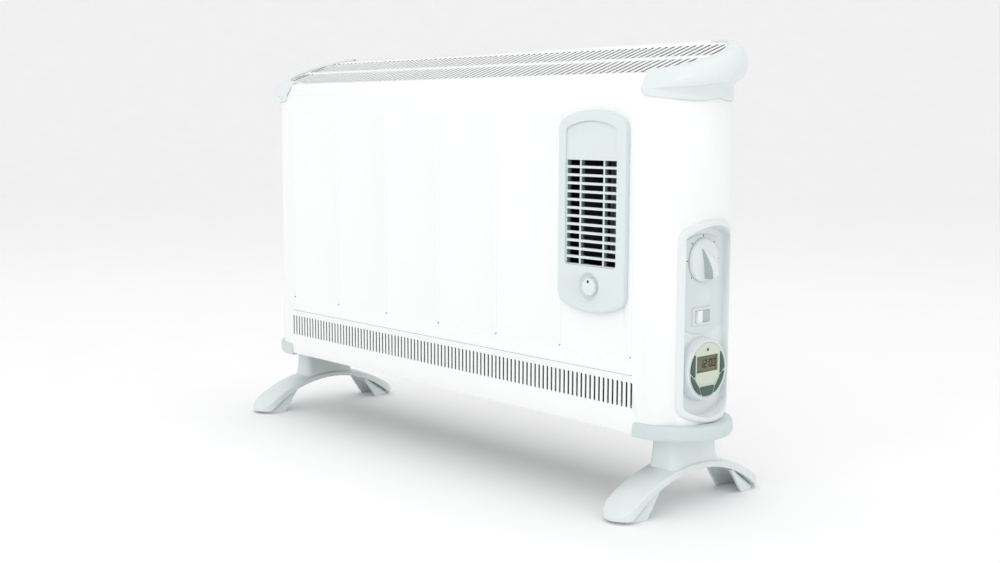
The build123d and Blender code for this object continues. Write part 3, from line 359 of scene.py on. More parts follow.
@dataclass(frozen=True)
class Display(Finish):
    """A reflective liquid-crystal display behind clear plastic."""

    def paint(self, graph: Graph) -> None:
        """Mottle the crystal layer slightly under a glossy coat."""
        cloud = graph.noise(160.0, 2.0)
        graph.surface(
            Base_Color=graph.blend(cloud, self.shade(0.88), self.shade(1.12)),
            Roughness=self.roughness + 0.08 * cloud,
            Coat_Weight=0.8,
            Coat_Roughness=0.05,
        )


ENAMEL = StoveEnamel("casing_enamel", (0.93, 0.94, 0.94), 0.30)
# Painted shade: near-black enamel for the casing's inward faces, which are white in fact, standing in for
# the shade inside the casing.
INNER_PAINTED_SHADE = StoveEnamel("casing_inner_painted_shade", (0.045, 0.055, 0.057), 0.55, coat=0.0)
# Painted light: the cap takes the trim's plastic made lighter, standing in for the light on its top.
LIT_CAP_PLASTIC = MouldedPlastic("cap_plastic", (0.70, 0.775, 0.77), 0.34)
TRIM_PLASTIC = MouldedPlastic("trim_plastic", (0.66, 0.735, 0.73), 0.34)
FOOT_PLASTIC = MouldedPlastic("foot_plastic", (0.70, 0.765, 0.755), 0.36)
BEZEL_PLASTIC = MouldedPlastic("bezel_plastic", (0.50, 0.56, 0.55), 0.40)
FRAME_PLASTIC = MouldedPlastic("frame_plastic", (0.71, 0.765, 0.76), 0.34)
PANEL_PLASTIC = MouldedPlastic("panel_plastic", (0.62, 0.69, 0.685), 0.45, grain=0.03 * MM)
# Painted shade: a darker copy of the bezel plastic for the louvre's webs, standing in for the shade behind
# the bars.
WEB_SHADE_PLASTIC = MouldedPlastic("louvre_web_painted_shade", (0.30, 0.37, 0.365), 0.50)
# Painted shade: a darker copy of the knob plastic for the grip's steep flank, standing in for the shade on
# that side.
FLANK_SHADE_PLASTIC = MouldedPlastic("grip_flank_painted_shade", (0.44, 0.53, 0.52), 0.50, grain=0.03 * MM)
# Painted shade: a darker copy of the rocker plastic for the half that tilts away.
ROCKER_SHADED_HALF = MouldedPlastic("rocker_painted_shade", (0.50, 0.58, 0.58), 0.40, grain=0.01 * MM)
IMPELLER_PLASTIC = MouldedPlastic("impeller_plastic", (0.34, 0.42, 0.42), 0.45)
KNOB_PLASTIC = MouldedPlastic("knob_plastic", (0.78, 0.83, 0.825), 0.32, grain=0.012 * MM)
ROCKER_PLASTIC = MouldedPlastic("rocker_plastic", (0.84, 0.87, 0.87), 0.28, grain=0.01 * MM)
RING_PLASTIC = MouldedPlastic("ring_plastic", (0.94, 0.96, 0.97), 0.42, grain=0.03 * MM)
DIAL_PLASTIC = MouldedPlastic("dial_plastic", (0.52, 0.65, 0.53), 0.38, grain=0.01 * MM)
KEY_TOP = MouldedPlastic("key_top", (0.10, 0.165, 0.15), 0.40, grain=0.01 * MM)
KEY_LINE = MouldedPlastic("key_outline", (0.68, 0.78, 0.70), 0.40, grain=0.01 * MM)
INK = MouldedPlastic("dial_ink", (0.012, 0.014, 0.013), 0.45, grain=0.005 * MM)
DISPLAY = Display("display_glass", (0.095, 0.09, 0.05), 0.25)
DARK_MOULDING = MouldedPlastic("dark_moulding", (0.018, 0.019, 0.021), 0.55, grain=0.04 * MM)
# Painted shade: zinc plate darkened well below its own tone, standing in for the shade inside the casing.
SHADOW_STEEL = ZincPlate("zinc_painted_shade", (0.20, 0.23, 0.23), 0.55)
SCREW_ZINC = BareMetal("screw_zinc", (0.62, 0.64, 0.66), 0.30)
SHEATH = BareMetal("element_sheath", (0.12, 0.11, 0.105), 0.55, lines=(40.0, 1.0, 1.0))
BRONZE = BareMetal("sintered_bronze", (0.50, 0.32, 0.13), 0.42)
GROUND_STEEL = BareMetal("ground_steel", (0.62, 0.63, 0.65), 0.20)
LAMINATIONS = BareMetal("laminations", (0.18, 0.19, 0.21), 0.45, lines=(1.0, 1.0, 60.0), depth=0.1 * MM)
COPPER = BareMetal("winding_copper", (0.55, 0.20, 0.08), 0.35, lines=(40.0, 1.0, 1.0), depth=0.1 * MM)
CERAMIC = Matt("steatite", (0.74, 0.71, 0.63), 0.75)
LAMINATE = Matt("board_laminate", (0.03, 0.16, 0.06), 0.45)
FLOOR_PAINT = StoveEnamel("studio_floor", (0.985, 0.985, 0.985), 0.75, coat=0.0)


# ------------------------------------------------------------------ outlines
@dataclass(frozen=True)
class PlanOutline:
    """A plan outline with straight long sides, four corner arcs and two end arcs."""

    flat: float
    reach: float
    half: float
    corner: float
    middle: float

    def grown(self, by: float) -> "PlanOutline":
        """Return the outline moved outwards all round."""
        return replace(self, reach=self.reach + by, half=self.half + by, corner=self.corner + by)

    def end(self, start: float, shares: np.ndarray) -> np.ndarray:
        """Return points round the +X end, from the front to the rear.

        Args:
            start: X where the walk begins on the front and ends on the rear.
            shares: how far along the walk each point is, from 0 to 1.

        Returns:
            An N x 2 array of X and Y.
        """
        rise = self.reach - self.flat
        big = (2 * self.half * self.corner - self.half**2 - rise**2) / (2 * (self.corner - rise))
        centre = self.reach - big
        share = big / (big - self.corner)
        touch = np.array([centre + (self.flat - centre) * share, (self.half - self.corner) * share])
        hub = np.array([self.flat, self.half - self.corner])
        turn = math.atan2(touch[1] - hub[1], touch[0] - hub[0])
        swing = math.atan2(touch[1], touch[0] - centre)
        first = [(self.flat + self.corner * math.cos(a), hub[1] + self.corner * math.sin(a))
                 for a in np.linspace(math.pi / 2, turn, 40)]
        second = [(centre + big * math.cos(a), big * math.sin(a)) for a in np.linspace(swing, 0, 60)]
        half = np.array([(start, self.half), *first, *second[1:]])
        walk = np.vstack([half * (1, -1), half[-2::-1]]) + (0, self.middle)
        return resample(walk, shares)

    def skin(self, across: np.ndarray) -> np.ndarray:
        """Return the X of the +X end at each Y."""
        walk = self.end(self.flat - 60 * MM, np.linspace(0.0, 0.5, 600))
        away = self.middle - walk[:, 1]
        return np.interp(np.abs(across - self.middle), away[::-1], walk[::-1, 0])


def resample(walk: np.ndarray, shares: np.ndarray) -> np.ndarray:
    """Find points along a walk.

    Args:
        walk: the points of the walk, in order.
        shares: how far along each wanted point is, from 0 to 1.

    Returns:
        The wanted points.
    """
    steps = np.linalg.norm(np.diff(walk, axis=0), axis=1)
    along = np.concatenate([[0.0], np.cumsum(steps)])
    wanted = np.asarray(shares) * along[-1]
    return np.column_stack([np.interp(wanted, along, walk[:, k]) for k in range(walk.shape[1])])


@dataclass(frozen=True)
class ArchedOutline:
    """An upright panel outline whose top bows up and whose foot bows down, with rounded corners."""

    middle: float
    half: float
    low: float
    high: float
    arch: float
    foot_arch: float
    corner: float

    def inset(self, by: float) -> "ArchedOutline":
        """Return the outline moved inwards all round."""
        return replace(self, half=self.half - by, low=self.low + by, high=self.high - by,
                       corner=max(self.corner - by, 0.2 * MM))

    def points(self, count: int) -> np.ndarray:
        """Return points round the outline, anticlockwise from the middle of the foot.

        Args:
            count: how many points.

        Returns:
            An N x 2 array, closed without a repeated point.
        """
        right = self._quarter(self.high, self.arch, 1)
        left = right[::-1] * (-1, 1)
        foot_right = self._quarter(self.low, self.foot_arch, -1)
        foot_left = foot_right[::-1] * (-1, 1)
        walk = np.vstack([foot_right, right[::-1], left[::-1], foot_left])
        walk = np.vstack([walk, walk[:1]])
        return resample(walk, np.linspace(0, 1, count + 1)[:-1]) + (self.middle, 0.0)

    def _quarter(self, edge: float, arch: float, way: int) -> np.ndarray:
        """Return one bowed edge's right half and its rounded corner, from the middle outwards."""
        if arch < 1e-6:
            hub = np.array([self.half - self.corner, edge - way * self.corner])
            turn = math.pi / 2
        else:
            bow = (self.half**2 + arch**2) / (2 * arch)
            centre = edge - way * bow
            dx = self.half - self.corner
            dz = math.sqrt(max((bow - self.corner) ** 2 - dx**2, 0.0))
            hub = np.array([dx, centre + way * dz])
            turn = math.atan2(dz, dx)
        spread = np.linspace(turn, 0.0, 12)
        corner = np.column_stack([hub[0] + self.corner * np.cos(spread),
                                  hub[1] + way * self.corner * np.sin(spread)])
        if arch < 1e-6:
            return np.vstack([[0.0, edge], corner])
        swing = np.linspace(0.0, math.pi / 2 - turn, 24)
        bowed = np.column_stack([bow * np.sin(swing), centre + way * bow * np.cos(swing)])
        return np.vstack([bowed, corner[1:]])


def disc(radius: float, count: int) -> np.ndarray:
    """Return points round a circle, anticlockwise from the foot."""
    angles = np.linspace(-math.pi / 2, 1.5 * math.pi, count, endpoint=False)
    return np.column_stack([radius * np.cos(angles), radius * np.sin(angles)])


# ------------------------------------------------------------------ meshes
class Body:
    """Points and faces gathered for one piece."""

    def __init__(self) -> None:
        """Start with nothing."""
        self.points: list[np.ndarray] = []
        self.faces: list[list[int]] = []
        self.count = 0

    def _take(self, points: np.ndarray) -> int:
        """Add points and return the first one's number."""
        first = self.count
        self.points.append(np.asarray(points, float))
        self.count += len(points)
        return first

    def loft(self, rings: Sequence[Ring], closed: bool = True, caps: bool = True,
             loop: bool = False) -> "Body":
        """Join rings of equal length with quads.

        Args:
            rings: the rings in order.
            closed: whether each ring's last point joins its first.
            caps: whether the first and last rings are filled.
            loop: whether the last ring joins the first.

        Returns:
            The body itself.
        """
        size = len(rings[0])
        first = self._take(np.vstack(rings))
        span = size if closed else size - 1
        runs = len(rings) if loop else len(rings) - 1
        for run in range(runs):
            here = first + run * size
            there = first + ((run + 1) % len(rings)) * size
            for k in range(span):
                after = (k + 1) % size
                self.faces.append([here + k, here + after, there + after, there + k])
        if caps and not loop:
            self.faces.append([first + k for k in reversed(range(size))])
            last = first + (len(rings) - 1) * size
            self.faces.append([last + k for k in range(size)])
        return self

    def plate(self, loops: Sequence[np.ndarray], stand: Callable[[np.ndarray], Ring]) -> "Body":
        """Fill a flat outline that may have openings.

        Args:
            loops: the outer outline, then each opening's.
            stand: puts flat points where they belong.

        Returns:
            The body itself.
        """
        flat = np.vstack(loops)
        edges, first = [], 0
        for loop in loops:
            edges += [(first + k, first + (k + 1) % len(loop)) for k in range(len(loop))]
            first += len(loop)
        spots, _, faces, *_ = delaunay_2d_cdt([Vector(p) for p in flat], edges, [], 0, 1e-7)
        spots = np.array([tuple(p) for p in spots])
        start = self._take(stand(spots))
        for face in faces:
            middle = spots[list(face)].mean(axis=0)
            if within(middle, loops[0]) and not any(within(middle, loop) for loop in loops[1:]):
                self.faces.append([start + k for k in face])
        return self

    def build(self, name: str, smooth: float) -> bpy.types.Object:
        """Make the object, weld it, turn its faces outwards and smooth it.

        Args:
            name: the piece's name.
            smooth: edges that turn by more degrees than this stay sharp.

        Returns:
            The new object.
        """
        mesh = bpy.data.meshes.new(name)
        mesh.from_pydata([tuple(p) for p in np.vstack(self.points)], [], self.faces)
        work = bmesh.new()
        work.from_mesh(mesh)
        bmesh.ops.remove_doubles(work, verts=work.verts, dist=0.004 * MM)
        bmesh.ops.dissolve_degenerate(work, edges=work.edges, dist=0.002 * MM)
        bmesh.ops.recalc_face_normals(work, faces=work.faces)
        work.to_mesh(mesh)
        work.free()
        mesh.shade_smooth()
        mesh.set_sharp_from_angle(angle=math.radians(smooth))
        piece = bpy.data.objects.new(name, mesh)
        bpy.context.scene.collection.objects.link(piece)
        return piece

    def mirrored(self) -> "Body":
        """Return a copy mirrored from the +X side to the -X side."""
        other = Body()
        other.points = [p * (-1.0, 1.0, 1.0) for p in self.points]
        other.faces = [face[::-1] for face in self.faces]
        other.count = self.count
        return other


def within(spot: np.ndarray, loop: np.ndarray) -> bool:
    """Return whether a flat spot is inside a closed outline."""
    here, there = loop, np.roll(loop, -1, axis=0)
    spans = (here[:, 1] > spot[1]) != (there[:, 1] > spot[1])
    rise = np.where(spans, there[:, 1] - here[:, 1], 1.0)
    cross = here[:, 0] + (spot[1] - here[:, 1]) * (there[:, 0] - here[:, 0]) / rise
    return bool(np.count_nonzero(spans & (spot[0] < cross)) % 2)


def on_front(outline: np.ndarray, depth: float) -> Ring:
    """Stand a flat outline of X and Z up at one Y."""
    return np.column_stack([outline[:, 0], np.full(len(outline), depth), outline[:, 1]])


def on_end(outline: np.ndarray, depth: float | np.ndarray) -> Ring:
    """Stand a flat outline of Y and Z up at one X, or at an X for each point."""
    reach = np.broadcast_to(depth, len(outline))
    return np.column_stack([reach, outline[:, 0], outline[:, 1]])


def turned(profile: Sequence[tuple[float, float]], middle: np.ndarray, count: int,
           stand: Callable[[np.ndarray, float], Ring]) -> list[Ring]:
    """Turn a profile about an axis.

    Args:
        profile: radius and depth of each ring.
        middle: the axis, in the flat plane.
        count: how many points round each ring.
        stand: puts a flat ring at its depth.

    Returns:
        The rings.
    """
    return [stand(disc(radius, count) + middle, depth) for radius, depth in profile]


def eased(share: np.ndarray) -> np.ndarray:
    """Return a share clipped to 0..1 and eased at both ends."""
    held = np.clip(share, 0.0, 1.0)
    return held * held * (3 - 2 * held)


def smooth_min(first: np.ndarray, second: np.ndarray, blend: float) -> np.ndarray:
    """Return the smaller of two, rounded where they cross."""
    share = np.clip(0.5 + 0.5 * (second - first) / blend, 0.0, 1.0)
    return second + (first - second) * share - blend * share * (1.0 - share)


class Side(Enum):
    """Which end of the heater a piece is on."""

    LEFT = -1
    RIGHT = 1

    @property
    def word(self) -> str:
        """Return the side's name as the nodes use it."""
        return self.name.lower()


def dress(piece: bpy.types.Object, finish: Finish, body: str, slot: str,
          *nodes: str) -> bpy.types.Object:
    """Give a piece its finish and its body, and hide the nodes it stands for.

    Args:
        piece: the object.
        finish: its finish.
        body: the body it rides on.
        slot: the record's material slot; not used.
        nodes: the CAD nodes that it replaces.

    Returns:
        The same object.
    """
    if not piece.data.materials:
        piece.data.materials.append(finish.material())
    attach(piece, body)
    if nodes:
        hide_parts(*nodes)
    log.info("%s rides on %s, finish %s", piece.name, body, finish.name)
    return piece


def refinish(piece: bpy.types.Object, finish: Finish,
             chosen: Callable[[bpy.types.MeshPolygon], bool]) -> None:
    """Give some of a piece's faces a second finish.

    Args:
        piece: the object.
        finish: the second finish.
        chosen: says whether a face takes it.
    """
    piece.data.materials.append(finish.material())
    for face in piece.data.polygons:
        if chosen(face):
            face.material_index = 1


def at_rest(node: str) -> tuple[Vector, Vector]:
    """Return a node's lowest and highest corners, in metres."""
    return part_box(node)


def low_of(node: str) -> np.ndarray:
    """Return a node's lowest corner, to the micrometre."""
    return np.round(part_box(node)[0], MICRON_PLACES)


def high_of(node: str) -> np.ndarray:
    """Return a node's highest corner, to the micrometre."""
    return np.round(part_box(node)[1], MICRON_PLACES)


def middle_of(node: str) -> np.ndarray:
    """Return the middle of a node's box, to the micrometre."""
    low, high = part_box(node)
    return np.round((np.array(low) + np.array(high)) / 2, MICRON_PLACES)


def taken(measure: Callable[[], float]) -> float:
    """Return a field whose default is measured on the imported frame."""
    return field(default_factory=lambda: float(measure()))


# ------------------------------------------------------------------ sub-assemblies
@dataclass
class Part(ABC):
    """A sub-assembly: its sizes, and how its pieces are made and dressed."""

    @abstractmethod
    def build(self) -> list[bpy.types.Object]:
        """Make every piece and return them."""


@dataclass
class Dressed(Part):
    """Pieces shown as the CAD made them, with a finish and rounded edges."""

    finish: Finish
    slot: str
    nodes: tuple[str, ...]
    body: str = "heater"
    rounding: float = 0.0
    angle: float = 35.0

    def build(self) -> list[bpy.types.Object]:
        """Give each node its finish."""
        made = []
        for name in self.nodes:
            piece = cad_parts[name]
            piece.data.materials.clear()
            piece.data.shade_smooth()
            piece.data.set_sharp_from_angle(angle=math.radians(self.angle))
            if self.rounding > 0:
                weld = piece.modifiers.new("weld", "WELD")
                weld.merge_threshold = 0.002 * MM
                edge = piece.modifiers.new("edge_rounding", "BEVEL")
                edge.width = self.rounding
                edge.segments = 2
                edge.limit_method = "ANGLE"
                edge.angle_limit = math.radians(self.angle)
                edge.harden_normals = True
            made.append(dress(piece, self.finish, self.body, self.slot))
        return made


@dataclass
class ShadedInsideSheet(Dressed):
    """Sheet steel enamelled outside, with painted shade on the faces that look inwards."""

    inner_shade: Finish = INNER_PAINTED_SHADE
    half: float = 287.0 * MM
    middle: float = taken(lambda: middle_of("top_grille")[1])

    def build(self) -> list[bpy.types.Object]:
        """Give the faces that look inwards a near-black finish: painted shade for the unlit inside."""
        pieces = super().build()
        for piece in pieces:
            # Painted shade: inward and downward faces take the near-black finish.
            refinish(piece, self.inner_shade, self._inward)
        return pieces

    def _inward(self, face: bpy.types.MeshPolygon) -> bool:
        """Return whether a face looks down or towards the middle of the sheet."""
        hub = Vector((max(-self.half, min(self.half, face.center.x)), self.middle, 0.0))
        out = Vector((face.center.x - hub.x, face.center.y - hub.y, 0.0))
        return face.normal.z < -0.3 or face.normal.dot(out.normalized()) < -0.6


@dataclass
class Housing:
    """Sizes that the casing, caps and trims share, in metres."""

    flat: float = 287.0 * MM
    bulge: float = 37.7 * MM
    depth: float = 100.0 * MM
    middle: float = taken(lambda: middle_of("top_grille")[1])
    corner: float = 28.0 * MM
    bottom: float = taken(lambda: low_of("front_casing")[2])
    crease: float = taken(lambda: low_of("top_grille")[2])
    facet_back: float = 7.0 * MM
    facet_up: float = 13.5 * MM
    slope: float = 0.35
    fit: float = 0.15 * MM

    @property
    def front(self) -> float:
        """Return the Y of the front face."""
        return self.middle - self.depth / 2

    def outline(self, grow: float = 0.0) -> PlanOutline:
        """Return the casing's plan outline, grown outwards."""
        plain = PlanOutline(self.flat, self.flat + self.bulge, self.depth / 2, self.corner, self.middle)
        return plain.grown(grow)

    def slope_top(self, across: np.ndarray, lift: float) -> np.ndarray:
        """Return the height of the sloping top, lifted square to it."""
        ridge = self.front + self.facet_back
        square = lift * math.hypot(1.0, self.slope)
        return self.crease + self.facet_up + self.slope * (across - ridge) + square

    def facet_top(self, across: np.ndarray, lift: float) -> np.ndarray:
        """Return the height of the leaning facet, lifted square to it."""
        steep = self.facet_up / self.facet_back
        return self.crease + steep * (across - self.front) + lift * math.hypot(1.0, steep)


@dataclass
class EndCap(Part):
    """A moulded cap: collar round the casing's end, visor over it, and an opening for the grille."""

    side: Side
    housing: Housing = field(default_factory=Housing)
    lead: float = 7.0 * MM
    drop: float = 8.5 * MM
    skin: float = 1.2 * MM
    end_skin: float = 2.8 * MM
    top: float = 2.6 * MM
    overhang: float = 18.3 * MM
    visor_corner: float = 80.0 * MM
    visor_rise: float = 0.11
    edge: float = 15.0 * MM
    turn: float = 7.5 * MM
    scoop: float = 7.0 * MM
    sag: tuple[tuple[float, float], ...] = (
        (0.0, -3.4 * MM), (0.08, -1.8 * MM), (0.18, 0.0),
        (0.32, 1.6 * MM), (0.4, 1.2 * MM), (0.5, -1.0 * MM))
    start_corner: float = 5.0 * MM
    stations: int = 150
    lip_run: float = 1.2 * MM
    lip_fall: float = 0.7 * MM
    edge_share: float = 0.56
    turn_share: float = 0.4
    ridge_blend: float = 5 * MM

    def build(self) -> list[bpy.types.Object]:
        """Loft the cap's section round the end."""
        body = Body().loft(list(self._sections()))
        if self.side is Side.LEFT:
            body = body.mirrored()
        name = f"end_cap_{self.side.word}"
        piece = body.build(f"cap_{self.side.word}", smooth=42.0)
        # Painted light: the whole cap takes the lightened copy of the trim plastic.
        return [dress(piece, LIT_CAP_PLASTIC, "heater", "cap_plastic", name)]

    def _sections(self) -> Iterable[Ring]:
        """Yield the closed section at each station, from the front to the rear."""
        house = self.housing
        start = house.flat - self.lead
        near = np.array([0.002, 0.005, 0.009, 0.013, 0.018, 0.023])
        shares = np.unique(np.concatenate([np.linspace(0, 1, self.stations), near, 1 - near]))
        reach = house.flat + house.bulge
        half = house.depth / 2
        collar = PlanOutline(house.flat, reach + self.end_skin, half + self.skin, house.corner,
                             house.middle).end(start, shares)
        visor = PlanOutline(house.flat, reach + self.overhang, half + self.skin, self.visor_corner,
                            house.middle).end(start, shares)
        wall = house.outline(house.fit).end(start, shares)
        window = PlanOutline(house.flat + 1 * MM, reach - 4.7 * MM, half - 10 * MM, 22 * MM,
                             house.middle + 4 * MM).end(start, shares)
        for share, *spots in zip(shares, collar, visor, wall, window):
            dip = float(np.interp(min(share, 1 - share), *zip(*self.sag)))
            yield self._section(*spots, start, dip)

    def _section(self, collar: np.ndarray, visor: np.ndarray, wall: np.ndarray,
                 window: np.ndarray, start: float, dip: float) -> Ring:
        """Return one closed section.

        Args:
            collar: X and Y of the collar's outer face.
            visor: X and Y of the visor's outer edge.
            wall: X and Y of the collar's inner face.
            window: X and Y of the opening's edge.
            start: X of the cap's cut ends.
            dip: how far the collar's lower edge hangs below its ends.

        Returns:
            The section's points.
        """
        span = np.linalg.norm(visor - window)
        edge = min(self.edge, span - 1.5 * MM)
        back = np.concatenate([np.linspace(span, edge, 12)[:-1],
                               edge * (1 - np.sin(np.linspace(0, math.pi / 2, 15)))])
        plan = visor + (window - visor) * (back / span)[:, None]
        surface = self._surface(plan[:, 1])
        under_here = self._underside(visor[1])
        thick = max(self._surface(visor[1:2])[0] - under_here, 0.0)
        drop = self.edge_share * thick
        bend = np.clip(1 - back / edge, 0.0, 1.0)
        near_lip = (1 - (span - back) / self.lip_run) ** 2 * self.lip_fall
        lip = np.where(back > span - self.lip_run, near_lip, 0.0)
        top = np.column_stack([plan, surface - drop * (1 - np.sqrt(1 - bend**2)) - lip])
        hang = np.linalg.norm(visor - collar)
        turn = min(self.turn, 0.5 * hang)
        scoop = min(self.scoop, 0.75 * hang)
        inwards = np.concatenate([turn * (1 - np.cos(np.linspace(0, math.pi / 2, 6))),
                                  np.linspace(turn, max(hang - scoop, turn), 4)[1:],
                                  hang - scoop * (1 - np.sin(np.linspace(0, math.pi / 2, 8)))[1:]])
        inwards = np.minimum(inwards, hang)
        ratio = inwards / hang if hang > 1e-6 else np.ones_like(inwards)
        below = visor + (collar - visor) * ratio[:, None]
        base = self._underside(below[:, 1])
        bend_in = np.clip(1 - (1 - inwards / max(turn, 1e-6)) ** 2, 0, 1)
        lower = self.turn_share * thick * (1 - np.sqrt(bend_in))
        lower = np.where(inwards < turn, lower, 0.0)
        near = np.clip(1 - (hang - inwards) / max(scoop, 1e-6), 0.0, 1.0)
        hollow = scoop * (1 - np.sqrt(1 - near**2))
        bottom = np.column_stack([below, base + lower - hollow])
        away = min(abs(collar[0] - start), self.start_corner)
        low = self.housing.crease - self.drop - dip
        if collar[0] - start < self.start_corner:
            low += self.start_corner - math.sqrt(self.start_corner**2 - (self.start_corner - away) ** 2)
        foot = [(*collar, low + 0.9 * MM), (*(collar + (wall - collar) * 0.12), low + 0.35 * MM),
                (*(collar + (wall - collar) * 0.4), low), (*wall, low)]
        ceiling = min(self.housing.facet_top(wall[1], self.housing.fit),
                      self.housing.slope_top(wall[1], self.housing.fit))
        inner = [(*wall, ceiling)]
        for share in (0.35, 0.6, 0.8, 1.0):
            spot = wall + (window - wall) * share
            height = min(self.housing.facet_top(spot[1], self.housing.fit),
                         self.housing.slope_top(spot[1], self.housing.fit))
            inner.append((*spot, height))
        bottom[:, 2] = np.maximum(bottom[:, 2], low + 1.2 * MM)
        return np.vstack([top, bottom, foot, inner])

    def _surface(self, across: np.ndarray) -> np.ndarray:
        """Return the cap's top height at each Y."""
        facet = self.housing.facet_top(across, self.skin)
        return smooth_min(facet, self.housing.slope_top(across, self.top), self.ridge_blend)

    def _underside(self, across: np.ndarray) -> np.ndarray:
        """Return the height of the visor's underside at each Y."""
        return self.housing.crease + self.visor_rise * (across - self.housing.front)


@dataclass
class BaseTrim(Part):
    """A moulded band round the foot of the casing's end, with a floor under it."""

    side: Side
    housing: Housing = field(default_factory=Housing)
    lead: float = 11.0 * MM
    low: float = taken(lambda: low_of("base_trim_right")[2])
    high: float = taken(lambda: high_of("base_trim_right")[2])
    skin: float = 1.0 * MM
    overhang: float = 12.3 * MM
    corner: float = 45.0 * MM
    start_corner: float = 4.0 * MM

    def build(self) -> list[bpy.types.Object]:
        """Loft the band and the floor."""
        house = self.housing
        start = house.flat - self.lead
        near = np.array([0.002, 0.005, 0.009, 0.013, 0.018])
        shares = np.unique(np.concatenate([np.linspace(0, 1, 130), near, 1 - near]))
        outer = PlanOutline(house.flat, house.flat + house.bulge + self.overhang,
                            house.depth / 2 + self.skin, self.corner, house.middle).end(start, shares)
        wall = house.outline(house.fit).end(start, shares)
        inner = house.outline(-6 * MM).end(start, shares)
        body = Body().loft([self._section(*spots, start) for spots in zip(outer, wall, inner)])
        plate = [np.column_stack([inner, np.full(len(inner), height)])
                 for height in (self.low + 0.3 * MM, house.bottom - 0.1 * MM)]
        body.loft(plate)
        if self.side is Side.LEFT:
            body = body.mirrored()
        piece = body.build(f"trim_{self.side.word}", smooth=40.0)
        return [dress(piece, TRIM_PLASTIC, "heater", "cap_plastic", f"base_trim_{self.side.word}")]

    def _section(self, outer: np.ndarray, wall: np.ndarray, inner: np.ndarray,
                 start: float) -> Ring:
        """Return the band's closed section between its outer, middle and inner outlines."""
        along = max(outer[0] - start, 0.0)
        dip = 0.0
        if along < self.start_corner:
            dip = self.start_corner - math.sqrt(self.start_corner**2 - (self.start_corner - along) ** 2)
        high = self.high - dip
        proud = np.linalg.norm(outer - wall)
        points = []
        for turn in np.linspace(-math.pi / 2, math.pi / 2, 17):
            swell = abs(math.cos(turn)) ** 0.55
            height = (self.low + high) / 2 + (high - self.low) / 2 * math.sin(turn)
            pull = min(proud * 0.85, 5.0 * MM if turn < 0 else 4.2 * MM) * (1 - swell)
            spot = outer + (wall - outer) * (pull / proud if proud > 1e-6 else 0.0)
            points.append((*spot, height))
        points.append((*wall, high))
        points.append((*wall, self.housing.bottom + 0.05 * MM))
        points.append((*inner, self.housing.bottom + 0.05 * MM))
        points.append((*inner, self.low))
        return np.array(points)


